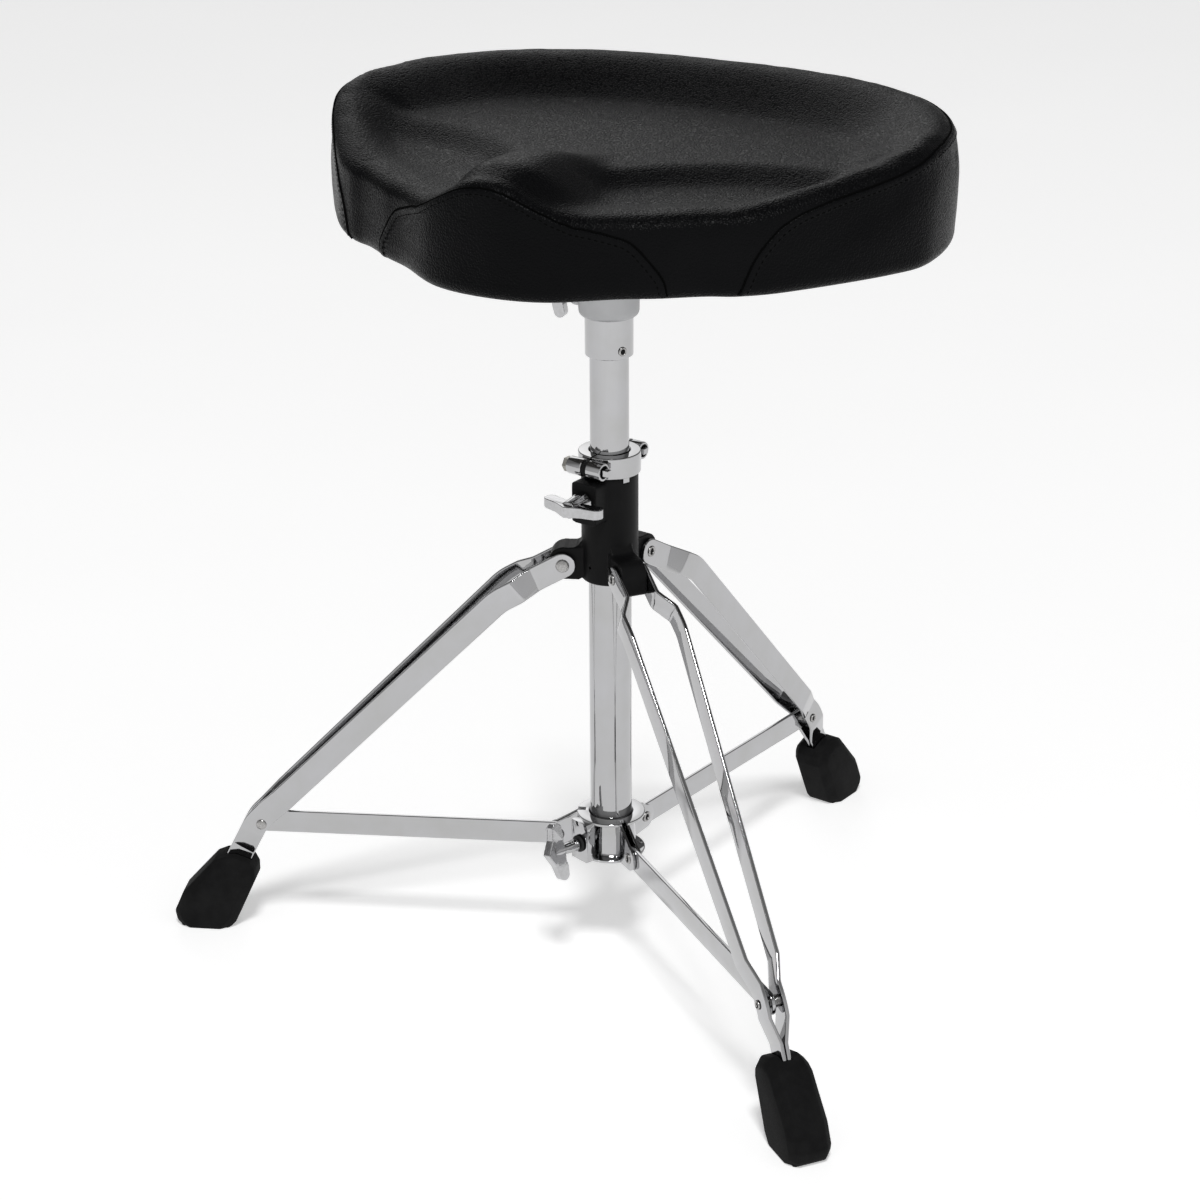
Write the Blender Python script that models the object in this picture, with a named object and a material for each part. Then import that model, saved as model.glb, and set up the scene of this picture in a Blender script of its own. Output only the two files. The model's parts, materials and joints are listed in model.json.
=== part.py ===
"""Drum throne: a saddle seat on a chromed, folding, double-strap tripod.

Everything is built around the post axis. The model stands on z = 0 with the open side of the
tripod, between its two front legs, towards -Y. Sizes are in metres.
"""
import math

import bmesh
import bpy
from mathutils import Matrix, Vector

# ---------------------------------------------------------------- driving dimensions
AXIS_Y = -0.0805            # post axis, so that the whole box is centred on the origin
RUNNING_GAP = 0.0003        # clearance between pieces that touch or slide
LEG_AZIMUTHS = {"a": 210.0, "b": 90.0, "c": 330.0}
SEAT_TURN = 8.75            # the seat stands turned a little on its post

# telescoping column
OUTER_TUBE_R = 0.015875     # 1 1/4 inch tube
OUTER_TUBE_BORE = 0.01465
OUTER_TUBE_Z = (0.080, 0.350)
POST_R = 0.0143             # 1 1/8 inch tube
POST_BORE = 0.0123
POST_Z = (0.190, 0.545)
SLEEVE_R = 0.0176
SLEEVE_Z = (0.479, 0.545)
SLEEVE_RIVET_Z = 0.4852
SLEEVE_RIVET_AZIMUTH = 339.0

# hub casting
HUB_R = 0.021
HUB_Z = (0.3095, 0.390)
HUB_BORE = OUTER_TUBE_R + RUNNING_GAP
LEG_PIVOT = (0.0338, 0.3185)          # radius and height
LUG_HALF_WIDTH = 0.0099
BOSS_HALF_WIDTH = 0.011
BOSS_REACH = 0.032
HEIGHT_BOLT_Z = 0.3745
HEIGHT_BOLT = {"shank_r": 0.0040, "hub_r": 0.0080, "hub": (0.0335, 0.0500), "span": 0.0255, "wing": 0.0040}
KEY_AZIMUTH = 342.0
KEY_WIDTH = 0.0052
KEY_DEPTH = 0.004

# memory lock
LOCK_Z = (0.3905, 0.4065)
LOCK_R = 0.0225
LOCK_SCREW_Y = 0.027
LOCK_SCREW_Z = 0.3994
LOCK_SCREW_R = 0.0030
LOCK_LUG_R = 0.0066
LOCK_LUG_REACH = {-1: 0.0150, 1: 0.0110}    # front lugs are the longer ones
LOCK_SPLIT = 0.0012
LOCK_NUT_R = 0.0058
LOCK_NUT_THICKNESS = 0.0035
LOCK_STEPS = 16

# legs: two bent straps each
STRAP_WIDTH = 0.019
STRAP_THICKNESS = 0.003
KNEE = (0.0810, 0.2915)
ANKLE = (0.2760, 0.0915)
TOE = (0.2995, 0.0445)
BRACE_PIVOT_ON_LEG = (0.2719, 0.0903)
# distance along the strap from its pivot, and its mid-plane's distance from the leg's centre plane
BRACE_GRIP = 0.0067
STRAP_SPREAD = ((0.024, 0.0117), (0.039, 0.0208), (0.055, 0.0208), (0.302, 0.0121),
                (0.321, BRACE_GRIP), (0.343, BRACE_GRIP), (0.361, 0.00185))
KNEE_BEND_R = 0.045
ANKLE_BEND_R = 0.040

# lower clamp and braces
CLAMP_Z = (0.0805, 0.1135)
CLAMP_BORE = OUTER_TUBE_R + RUNNING_GAP
CLAMP_R = 0.0187
FLANGE_R = 0.0260
SHEET = 0.0024
BRACE_PIVOT = (0.0410, 0.0920)
BRACE_WIDTH = 0.018
BRACE_THICKNESS = 0.003
CLAMP_BOLT_AZIMUTH = 257.0
CLAMP_BOLT_Z = 0.0955
CLAMP_BOLT = {"shank_r": 0.0030, "hub_r": 0.0043, "hub": (0.0343, 0.0560), "span": 0.0225, "wing": 0.0035}
CLAMP_WING_TILT = 15.0       # the wing's upper lobe leans towards leg a
CLAMP_BLOCK = (0.0245, 0.0315)
CLAMP_BLOCK_HALF_WIDTH = 0.0093
CLAMP_WASHER_R = 0.0066
CLAMP_WASHER_THICKNESS = 0.0022
BRACE_PLAY = 0.0004
EAR_THICKNESS = 0.0020
CUT_LAP = 0.0006            # keeps joined and cut faces from lying in one plane

# rubber foot
FOOT_HALF_WIDTH = 0.0165
FOOT_CHAMFER = 0.006
FOOT_TREAD = 0.0015
FOOT_GROOVES = 4
FOOT_GROOVE_START = 0.3065
FOOT_GROOVE_PITCH = 0.0085
FOOT_GROOVE_WIDTH = 0.0018
FOOT_POCKET_PLAY = 0.0008    # free depth under the straps' ends
FOOT_POCKET_REACH = 0.060

# seat
SEAT_BOTTOM = 0.568
BOARD_THICKNESS = 0.012
BOARD_INSET = 0.012
SEAT_EDGE_Z = 0.623         # rolled top edge over the thighs
NOSE_RISE = 0.024
BOLSTER_RISE = 0.032
SEAT_CENTRE_Y = 0.010        # where the rings of the sitting surface shrink to
RIM_INSET = 0.009
BRACKET_Z = (0.508, 0.568)
BRACKET_R = 0.0219
BRACKET_PLATE = 0.0550      # half side of the square mounting plate
BRACKET_PLATE_THICKNESS = 0.0055
BRACKET_SCREW = 0.0420
BRACKET_SCREW_R = 0.0030
SEAT_BOLT_Z = 0.523
SEAT_BOLT = {"shank_r": 0.0040, "hub_r": 0.0070, "hub": (0.0290, 0.0440), "span": 0.0220, "wing": 0.0032}

# half of the seat's plan outline, from the nose round to the back
SEAT_OUTLINE = ((0.0, -0.181), (0.043, -0.173), (0.083, -0.1445), (0.106, -0.131),
                (0.131, -0.113), (0.152, -0.102), (0.178, -0.076), (0.221, -0.012),
                (0.235, 0.030), (0.223, 0.094), (0.176, 0.155), (0.096, 0.191), (0.0, 0.200))

LARGE_ROUND = 32            # sides of a turned piece
MEDIUM_ROUND = 16
SMALL_ROUND = 12

RIVET_R = 0.003
SMALL_RIVET_R = 0.0024
CLAMP_RIVET_R = 0.0030
RIVET_HEAD = 1.68           # radius of the head, in shank radii
RIVET_ROLL = 1.45           # radius of the rolled hollow end, in shank radii
STUD_SPACER_R = 0.0046

CHROME = ((0.72, 0.72, 0.74), 0.08, 1.0)
SATIN = ((0.55, 0.56, 0.57), 0.35, 0.9)
BLACK_CASTING = ((0.02, 0.02, 0.021), 0.42, 0.0)
RUBBER = ((0.016, 0.016, 0.017), 0.75, 0.0)
NYLON = ((0.03, 0.03, 0.03), 0.5, 0.0)
VINYL = ((0.018, 0.018, 0.02), 0.48, 0.0)
PLYWOOD = ((0.03, 0.03, 0.03), 0.7, 0.0)      # stained black
ZINC = ((0.45, 0.44, 0.40), 0.35, 1.0)


# ---------------------------------------------------------------- helpers
def clear_scene():
    for obj in list(bpy.data.objects):
        bpy.data.objects.remove(obj, do_unlink=True)


def empty(name, parent=None, location=(0, 0, 0), azimuth=0.0):
    """An empty that stands at a joint or turns what it carries about Z."""
    obj = bpy.data.objects.new(name, None)
    bpy.context.collection.objects.link(obj)
    obj.location = location
    obj.rotation_euler = (0, 0, math.radians(azimuth))
    obj.parent = parent
    return obj


def finish(name, bm, finish_of, parent, location=(0, 0, 0), rotation=(0, 0, 0)):
    """Turn a bmesh into a named object with its own material, under its parent."""
    bmesh.ops.recalc_face_normals(bm, faces=bm.faces)
    mesh = bpy.data.meshes.new(name)
    bm.to_mesh(mesh)
    bm.free()
    obj = bpy.data.objects.new(name, mesh)
    bpy.context.collection.objects.link(obj)
    obj.parent = parent
    obj.location = location
    obj.rotation_euler = rotation
    for polygon in mesh.polygons:
        polygon.use_smooth = True
    mesh.set_sharp_from_angle(angle=math.radians(32))
    color, roughness, metallic = finish_of
    material = bpy.data.materials.new(name)
    material.use_nodes = True
    shader = material.node_tree.nodes["Principled BSDF"]
    shader.inputs["Base Color"].default_value = (*color, 1.0)
    shader.inputs["Roughness"].default_value = roughness
    shader.inputs["Metallic"].default_value = metallic
    material.diffuse_color = (*color, 1.0)
    mesh.materials.append(material)
    return obj


def lathe(bm, profile, segments=LARGE_ROUND, matrix=Matrix.Identity(4)):
    """Spin a closed outline of (radius, height) points about Z. Points on the axis become one vertex."""
    rings = []
    for radius, height in profile:
        if radius < 1e-7:
            rings.append([bm.verts.new(matrix @ Vector((0, 0, height)))])
            continue
        ring = []
        for i in range(segments):
            angle = math.tau * i / segments
            point = Vector((radius * math.cos(angle), radius * math.sin(angle), height))
            ring.append(bm.verts.new(matrix @ point))
        rings.append(ring)
    for low, high in zip(rings, rings[1:] + rings[:1]):
        if len(low) == 1 and len(high) == 1:
            continue
        for i in range(segments):
            j = (i + 1) % segments
            corners = [low[i % len(low)], low[j % len(low)], high[j % len(high)], high[i % len(high)]]
            bm.faces.new(list(dict.fromkeys(corners)))


def along(axis, point=(0, 0, 0)):
    """A matrix that lays a lathe's Z along an axis, starting at a point."""
    return Matrix.Translation(point) @ Vector(axis).to_track_quat("Z", "Y").to_matrix().to_4x4()


def rod(bm, radius, start, end, segments=SMALL_ROUND):
    """A plain round bar between two points."""
    start = Vector(start)
    run = Vector(end) - start
    lathe(bm, [(0, 0), (radius, 0), (radius, run.length), (0, run.length)], segments, along(run, start))


def prism(bm, outline, low, high, place):
    """Extrude a closed outline of (u, v) points between two heights; place turns (u, v, w) into a point."""
    bottom = [bm.verts.new(place(u, v, low)) for u, v in outline]
    top = [bm.verts.new(place(u, v, high)) for u, v in outline]
    bm.faces.new(bottom)
    bm.faces.new(list(reversed(top)))
    for i in range(len(outline)):
        j = (i + 1) % len(outline)
        bm.faces.new([bottom[i], top[i], top[j], bottom[j]])


def box(bm, low, high):
    corners = [(low[0], low[1]), (high[0], low[1]), (high[0], high[1]), (low[0], high[1])]
    prism(bm, corners, low[2], high[2], lambda u, v, w: Vector((u, v, w)))


def side_view(u, v, w):
    """Places an outline drawn in radius and height, with its width along the tangent."""
    return Vector((u, w, v))


def arc(centre, radius, start, end, steps):
    """Points on an arc, with the angles in degrees."""
    points = []
    for i in range(steps + 1):
        angle = math.radians(start + (end - start) * i / steps)
        points.append((centre[0] + radius * math.cos(angle), centre[1] + radius * math.sin(angle)))
    return points


def modify(obj, cutter, operation):
    """Apply one solid to another with an exact Boolean, and hide the helper."""
    cutter.hide_render = True
    cutter.display_type = "WIRE"
    cutter.hide_set(True)
    change = obj.modifiers.new(operation.lower(), "BOOLEAN")
    change.operation = operation
    change.solver = "EXACT"
    change.object = cutter


def helper(name, build, parent, location=(0, 0, 0), rotation=(0, 0, 0)):
    """A hidden solid that cuts another or is joined to it."""
    bm = bmesh.new()
    build(bm)
    obj = finish(name, bm, SATIN, parent, location, rotation)
    obj.hide_render = True
    obj.display_type = "WIRE"
    return obj


def rounded(obj, width, segments=2, angle=35.0):
    bevel = obj.modifiers.new("edge rounding", "BEVEL")
    bevel.width = width
    bevel.segments = segments
    bevel.limit_method = "ANGLE"
    bevel.angle_limit = math.radians(angle)


# ---------------------------------------------------------------- fasteners
def rivet_profile(shank, grip):
    """Outline of a semi-tubular rivet: rolled hollow end below, low domed head above."""
    half = grip / 2
    head = shank * RIVET_HEAD
    roll = shank * RIVET_ROLL
    hollow = shank * 0.62
    lip = half + shank * 0.5
    return [(0, -half + shank), (hollow, -half + shank), (hollow, -lip), (roll, -lip), (roll, -half),
            (shank, -half), (shank, half), (head, half), (head * 0.8, half + shank * 0.5),
            (0, half + shank * 0.75)]


def rivet(name, parent, location, axis, shank, grip):
    bm = bmesh.new()
    lathe(bm, rivet_profile(shank, grip), SMALL_ROUND, along(axis))
    return finish(name, bm, CHROME, parent, location)


def wing_bolt(name, parent, location, rotation, shank_end, shank_r, hub_r, hub, span, wing):
    """A bolt along +X: shank from shank_end to the hub, then a two-lobed wing across Z.

    hub is (start, end) along X, span the wing's half length and wing its half thickness.
    """
    bm = bmesh.new()
    profile = [(0, shank_end), (shank_r * 0.8, shank_end), (shank_r, shank_end + shank_r * 0.25),
               (shank_r, hub[0]), (hub_r * 0.9, hub[0]), (hub_r, hub[0] + 0.001),
               (hub_r, hub[1] - 0.002), (hub_r * 0.75, hub[1]), (0, hub[1])]
    lathe(bm, profile, MEDIUM_ROUND, along((1, 0, 0)))
    bolt = finish(name, bm, CHROME, parent, location, rotation)
    outline = wing_outline(hub, span)

    def wings(helper_mesh):
        prism(helper_mesh, outline, -wing, wing, side_view)

    blade = helper(name + "_blade", wings, parent, location, rotation)
    rounded(blade, wing * 0.55)
    modify(bolt, blade, "UNION")
    return bolt


def wing_outline(hub, span):
    """The wing seen face on: a waist at the hub and a rounded lobe at each end."""
    start, end = hub
    lobe = span * 0.30
    tip = arc((end - lobe * 0.2, span - lobe), lobe, -20, 160, 8)
    waist = [(start + (end - start) * 0.45, span * 0.42), (start + (end - start) * 0.35, 0.0)]
    upper = [(end + lobe * 0.15, span * 0.35)] + tip + waist
    lower = [(u, -v) for u, v in reversed(upper[:-1])]
    return upper + lower + [(end - lobe * 0.05, 0.0)]


# ---------------------------------------------------------------- column
def tube(name, parent, bore, radius, span, material):
    bm = bmesh.new()
    low, high = span
    lathe(bm, [(bore, low), (radius, low), (radius, high), (bore, high)])
    return finish(name, bm, material, parent)


def tube_end_cap(parent):
    bm = bmesh.new()
    rim = OUTER_TUBE_Z[0] - RUNNING_GAP
    plug = OUTER_TUBE_BORE - RUNNING_GAP
    lathe(bm, [(0, rim - 0.0025), (OUTER_TUBE_R - 0.001, rim - 0.0025), (OUTER_TUBE_R, rim - 0.0015),
               (OUTER_TUBE_R, rim), (plug, rim), (plug, rim + 0.014), (0, rim + 0.014)])
    return finish("tube_end_cap", bm, NYLON, parent)


def hub_bushing(parent):
    return tube("hub_bushing", parent, POST_R + RUNNING_GAP, HUB_BORE - RUNNING_GAP,
                (OUTER_TUBE_Z[1] + RUNNING_GAP, HUB_Z[1] - RUNNING_GAP), NYLON)


def sleeve_rivet_axis():
    angle = math.radians(SLEEVE_RIVET_AZIMUTH + 180)
    return (math.cos(angle), math.sin(angle), 0)


def post_parts(parent):
    """The inner tube and the sleeve riveted on its top."""
    post = tube("seat_post", parent, POST_BORE, POST_R, POST_Z, CHROME)
    bm = bmesh.new()
    low, high = SLEEVE_Z
    bore = POST_R + RUNNING_GAP
    lathe(bm, [(bore, low), (SLEEVE_R - 0.001, low), (SLEEVE_R, low + 0.0012), (SLEEVE_R, high),
               (bore, high)])
    sleeve = finish("post_sleeve", bm, CHROME, parent)
    axis = Vector(sleeve_rivet_axis())
    middle = Vector((0, 0, SLEEVE_RIVET_Z))

    def drill(cutter):
        rod(cutter, SMALL_RIVET_R + RUNNING_GAP, middle - axis * 0.03, middle + axis * 0.03)

    hole = helper("sleeve_rivet_hole", drill, parent)
    modify(post, hole, "DIFFERENCE")
    modify(sleeve, hole, "DIFFERENCE")
    rivet("sleeve_rivet", parent, middle, axis, SMALL_RIVET_R, 2 * (SLEEVE_R + RUNNING_GAP))


# ---------------------------------------------------------------- hub
def lug_outline():
    pivot_r, pivot_z = LEG_PIVOT
    top = arc((pivot_r - 0.001, pivot_z + 0.001), 0.0125, 90, 0, 6)
    bottom = [(pivot_r + 0.0115, pivot_z - 0.0105), (pivot_r + 0.0095, pivot_z - 0.0120),
              (0.022, pivot_z - 0.0120)]
    return [(0.017, pivot_z - 0.009), (0.017, pivot_z + 0.0135)] + top + bottom


def hub(parent):
    bm = bmesh.new()
    low, high = HUB_Z
    lathe(bm, [(0, low), (HUB_R, low), (HUB_R, high), (0, high)])
    body = finish("hub", bm, BLACK_CASTING, parent)

    def boss_shape(helper_mesh):
        edge = 0.003
        side = BOSS_HALF_WIDTH
        bottom = HEIGHT_BOLT_Z - 0.0170
        top = high - 0.0004
        outline = ([(-side, top)] + arc((-side + edge, bottom + edge), edge, 180, 270, 3)
                   + arc((side - edge, bottom + edge), edge, 270, 360, 3) + [(side, top)])
        prism(helper_mesh, outline, -BOSS_REACH, -0.010, lambda u, v, w: Vector((u, w, v)))

    boss = helper("hub_boss", boss_shape, parent)
    rounded(boss, 0.0015)
    modify(body, boss, "UNION")
    for leg, azimuth in LEG_AZIMUTHS.items():
        turned = (0, 0, math.radians(azimuth))

        def lug_shape(helper_mesh):
            prism(helper_mesh, lug_outline(), -LUG_HALF_WIDTH, LUG_HALF_WIDTH, side_view)

        lug = helper("hub_lug_" + leg, lug_shape, parent, rotation=turned)
        rounded(lug, 0.0012)
        modify(body, lug, "UNION")

    def bore_shape(helper_mesh):
        rod(helper_mesh, HUB_BORE, (0, 0, low - 0.01), (0, 0, high + 0.01), LARGE_ROUND)

    modify(body, helper("hub_bore", bore_shape, parent), "DIFFERENCE")

    def drillings(helper_mesh):
        rod(helper_mesh, HEIGHT_BOLT["shank_r"] + RUNNING_GAP, (0, -0.005, HEIGHT_BOLT_Z),
            (0, -0.05, HEIGHT_BOLT_Z))

    modify(body, helper("hub_bolt_hole", drillings, parent), "DIFFERENCE")
    for leg, azimuth in LEG_AZIMUTHS.items():

        def pivot_hole(helper_mesh):
            rod(helper_mesh, RIVET_R + RUNNING_GAP, (LEG_PIVOT[0], -0.03, LEG_PIVOT[1]),
                (LEG_PIVOT[0], 0.03, LEG_PIVOT[1]))

        cutter = helper("hub_pivot_hole_" + leg, pivot_hole, parent, rotation=(0, 0, math.radians(azimuth)))
        modify(body, cutter, "DIFFERENCE")

    def key_slot(helper_mesh):
        half = KEY_WIDTH / 2 + RUNNING_GAP
        box(helper_mesh, (0.012, -half, high - KEY_DEPTH - RUNNING_GAP), (0.03, half, high + 0.01))

    slot = helper("hub_key_slot", key_slot, parent, rotation=(0, 0, math.radians(KEY_AZIMUTH)))
    modify(body, slot, "DIFFERENCE")
    return body


# ---------------------------------------------------------------- memory lock
def lock_half(name, parent, side):
    """One half ring, on the +X side for side = 1, with its two screw lugs; the right half has the key."""
    bm = bmesh.new()
    low, high = LOCK_Z
    bore = POST_R + RUNNING_GAP
    edge = 0.0008
    outline = [(bore, low), (LOCK_R - edge, low), (LOCK_R, low + edge), (LOCK_R, high - edge),
               (LOCK_R - edge, high), (bore, high)]
    shift = Vector((side * LOCK_SPLIT / 2, 0, 0))
    rings = []
    for i in range(LOCK_STEPS + 1):
        angle = math.radians(-90 + 180 * i / LOCK_STEPS)
        direction = Vector((side * math.cos(angle), math.sin(angle), 0))
        rings.append([bm.verts.new(direction * r + shift + Vector((0, 0, z))) for r, z in outline])
    for one, two in zip(rings, rings[1:]):
        for i in range(len(outline)):
            j = (i + 1) % len(outline)
            bm.faces.new([one[i], one[j], two[j], two[i]])
    bm.faces.new(rings[0])
    bm.faces.new(list(reversed(rings[-1])))
    ring = finish(name, bm, CHROME, parent)
    if side > 0:

        def key_shape(helper_mesh):
            half = KEY_WIDTH / 2
            box(helper_mesh, (0.0168, -half, low - KEY_DEPTH), (0.0203, half, low + KEY_DEPTH))

        key = helper("memory_lock_key", key_shape, parent, rotation=(0, 0, math.radians(KEY_AZIMUTH)))
        modify(ring, key, "UNION")

    def screw_rods(helper_mesh, radius, near, far):
        for end in (-1, 1):
            y = end * LOCK_SCREW_Y
            rod(helper_mesh, radius, (side * near, y, LOCK_SCREW_Z), (side * far[end], y, LOCK_SCREW_Z))

    def lugs(helper_mesh):
        screw_rods(helper_mesh, LOCK_LUG_R, LOCK_SPLIT / 2 + CUT_LAP, LOCK_LUG_REACH)

    def holes(helper_mesh):
        screw_rods(helper_mesh, LOCK_SCREW_R + RUNNING_GAP, -0.01, {-1: 0.03, 1: 0.03})

    modify(ring, helper(name + "_lugs", lugs, parent), "UNION")
    modify(ring, helper(name + "_holes", holes, parent), "DIFFERENCE")
    return ring


def lock_screw(name, parent, end, square):
    """A screw along X through both halves, with a square key end on the +X side or a plain round head."""
    reach = LOCK_LUG_REACH[end]
    start = reach + RUNNING_GAP
    y = end * LOCK_SCREW_Y
    bm = bmesh.new()
    lathe(bm, [(0, -reach - 0.0045), (LOCK_SCREW_R, -reach - 0.0045), (LOCK_SCREW_R, start), (0.0052, start),
               (0.0052, start + 0.0014), (0.0047, start + 0.0021), (0, start + 0.0021)], SMALL_ROUND,
          along((1, 0, 0), (0, y, LOCK_SCREW_Z)))
    screw = finish(name, bm, CHROME, parent)
    if square:

        def key_end(helper_mesh):
            half = 0.0027
            z = LOCK_SCREW_Z
            box(helper_mesh, (start + CUT_LAP, y - half, z - half), (start + 0.0082, y + half, z + half))

        square_end = helper(name + "_square", key_end, parent)
        rounded(square_end, 0.0004, 1)
        modify(screw, square_end, "UNION")
    return screw


def lock_nut(name, parent, end):
    """A hexagon nut on the -X side of the screw."""
    place = (-LOCK_LUG_REACH[end] - RUNNING_GAP, end * LOCK_SCREW_Y, LOCK_SCREW_Z)
    bm = bmesh.new()
    lathe(bm, [(0, 0), (LOCK_NUT_R, 0), (LOCK_NUT_R, LOCK_NUT_THICKNESS), (0, LOCK_NUT_THICKNESS)], 6,
          along((-1, 0, 0)))
    nut = finish(name, bm, ZINC, parent, place)

    def thread(helper_mesh):
        rod(helper_mesh, LOCK_SCREW_R + RUNNING_GAP, (0.01, 0, 0), (-0.01, 0, 0))

    modify(nut, helper(name + "_thread", thread, parent, place), "DIFFERENCE")
    return nut


# ---------------------------------------------------------------- legs
def fillet(points, radii, steps=5):
    """A path of straight runs with round corners; radii has one radius for each inner corner."""
    path = [Vector(points[0])]
    for previous, corner, following, radius in zip(points, points[1:], points[2:], radii):
        corner = Vector(corner)
        back = (Vector(previous) - corner).normalized()
        ahead = (Vector(following) - corner).normalized()
        half = back.angle(ahead) / 2
        start = corner + back * (radius / math.tan(half))
        centre = corner + (back + ahead).normalized() * (radius / math.sin(half))
        spoke = start - centre
        end_spoke = corner + ahead * (radius / math.tan(half)) - centre
        sweep = spoke.angle_signed(end_spoke)
        for i in range(steps + 1):
            turn = Matrix.Rotation(-sweep * i / steps, 2)
            path.append(centre + turn @ spoke)
    path.append(Vector(points[-1]))
    return path


class SidePath:
    """The strap's centre line in side view, measured by distance from the leg's pivot."""

    def __init__(self):
        self.points = fillet([LEG_PIVOT, KNEE, ANKLE, TOE], [KNEE_BEND_R, ANKLE_BEND_R])
        self.distances = [0.0]
        for one, two in zip(self.points, self.points[1:]):
            self.distances.append(self.distances[-1] + (two - one).length)
        self.length = self.distances[-1]

    def normal(self, index):
        before = self.points[max(index - 1, 0)]
        after = self.points[min(index + 1, len(self.points) - 1)]
        run = (after - before).normalized()
        return Vector((-run.y, run.x))

    def at(self, distance):
        """Point and upward normal at a distance, straight on beyond both ends."""
        if distance <= 0:
            run = (self.points[1] - self.points[0]).normalized()
            return self.points[0] + run * distance, Vector((-run.y, run.x))
        for i in range(len(self.points) - 1):
            if distance <= self.distances[i + 1] or i == len(self.points) - 2:
                share = (distance - self.distances[i]) / (self.distances[i + 1] - self.distances[i])
                point = self.points[i].lerp(self.points[i + 1], share)
                return point, self.normal(i).lerp(self.normal(i + 1), share).normalized()


def spread_path(length):
    """The strap's mid-plane in plan: (distance along, distance from the centre plane)."""
    first = [(-STRAP_WIDTH, STRAP_SPREAD[0][1])]
    last = [(length + STRAP_WIDTH, STRAP_SPREAD[-1][1])]
    corners = first + list(STRAP_SPREAD) + last
    return fillet(corners, [0.008] * len(STRAP_SPREAD), steps=2)


def spread_at(path, distance):
    for one, two in zip(path, path[1:]):
        if distance <= two.x:
            share = (distance - one.x) / (two.x - one.x)
            run = (two - one).normalized()
            return one.lerp(two, share).y, Vector((-run.y, run.x))
    return path[-1].y, Vector((0, 1))


def strap_stations(side_path, plan_path):
    """Where the strap's cross-sections stand, with their half heights; the pivot end is round."""
    half = STRAP_WIDTH / 2
    stations = [(-half * math.cos(math.radians(a)), half * math.sin(math.radians(a)))
                for a in (10, 30, 50, 70)]
    marks = sorted({round(d, 5) for d in side_path.distances}
                   | {round(p.x, 5) for p in plan_path if 0 < p.x < side_path.length})
    kept = [0.0]
    for mark in marks:
        if mark - kept[-1] > 0.0012:
            kept.append(mark)
    stations += [(mark, half) for mark in kept]
    return stations


def leg_strap(name, parent, side):
    """One bent strap of a leg, on the side of the tangent that side gives."""
    side_path = SidePath()
    plan_path = spread_path(side_path.length)
    bm = bmesh.new()
    sections = []
    for distance, half in strap_stations(side_path, plan_path):
        offset, across = spread_at(plan_path, distance)
        section = []
        for face in (-0.5, 0.5):
            shift = across * (face * STRAP_THICKNESS)
            point, up = side_path.at(distance + shift.x)
            for edge in ((-half, half) if face < 0 else (half, -half)):
                corner = point + up * edge
                section.append(bm.verts.new((corner.x - LEG_PIVOT[0], side * (offset + shift.y),
                                             corner.y - LEG_PIVOT[1])))
        sections.append(section)
    for one, two in zip(sections, sections[1:]):
        for i in range(4):
            j = (i + 1) % 4
            bm.faces.new([one[i], one[j], two[j], two[i]])
    bm.faces.new(sections[0])
    bm.faces.new(list(reversed(sections[-1])))
    strap = finish(name, bm, CHROME, parent)

    def pivot_holes(helper_mesh):
        x = BRACE_PIVOT_ON_LEG[0] - LEG_PIVOT[0]
        z = BRACE_PIVOT_ON_LEG[1] - LEG_PIVOT[1]
        rod(helper_mesh, SMALL_RIVET_R + RUNNING_GAP, (x, side * 0.0005, z), (x, side * 0.02, z))

    def hub_hole(helper_mesh):
        rod(helper_mesh, RIVET_R + RUNNING_GAP, (0, side * 0.005, 0), (0, side * 0.02, 0))

    modify(strap, helper(name + "_brace_hole", pivot_holes, parent), "DIFFERENCE")
    modify(strap, helper(name + "_pivot_hole", hub_hole, parent), "DIFFERENCE")
    return strap


def brace_stud(name, parent, side):
    """Half of the rivet at a brace's outer end, with its spacer. The halves leave the brace free."""
    inner = BRACE_THICKNESS / 2 + BRACE_PLAY
    face = BRACE_GRIP - STRAP_THICKNESS / 2
    strap_out = BRACE_GRIP + STRAP_THICKNESS / 2 + RUNNING_GAP
    shank = SMALL_RIVET_R
    if side > 0:
        end = [(shank * RIVET_HEAD, strap_out), (shank * 1.35, strap_out + 0.0012), (0, strap_out + 0.0019)]
    else:
        end = [(shank * RIVET_ROLL, strap_out), (shank * RIVET_ROLL, strap_out + 0.0013),
               (shank * 0.6, strap_out + 0.0013), (shank * 0.6, strap_out - 0.002), (0, strap_out - 0.002)]
    profile = [(0, inner), (STUD_SPACER_R, inner), (STUD_SPACER_R, face - RUNNING_GAP),
               (shank, face - RUNNING_GAP), (shank, strap_out)] + end
    bm = bmesh.new()
    lathe(bm, profile, SMALL_ROUND, along((0, side, 0)))
    x = BRACE_PIVOT_ON_LEG[0] - LEG_PIVOT[0]
    z = BRACE_PIVOT_ON_LEG[1] - LEG_PIVOT[1]
    return finish(name, bm, CHROME, parent, (x, 0, z))


# ---------------------------------------------------------------- rubber foot
def foot_outline():
    """Side view in radius and height: shoulders at the top, a flat tread on the floor."""
    return [(0.2825, 0.0570), (0.2950, 0.0615), (0.3035, 0.0610), (0.3115, 0.0575), (0.3370, 0.0290),
            (0.3445, 0.0120), (0.3430, 0.0040), (0.3395, 0.0), (0.3000, 0.0), (0.2960, 0.0045),
            (0.2790, 0.0420), (0.2790, 0.0500)]


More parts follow.
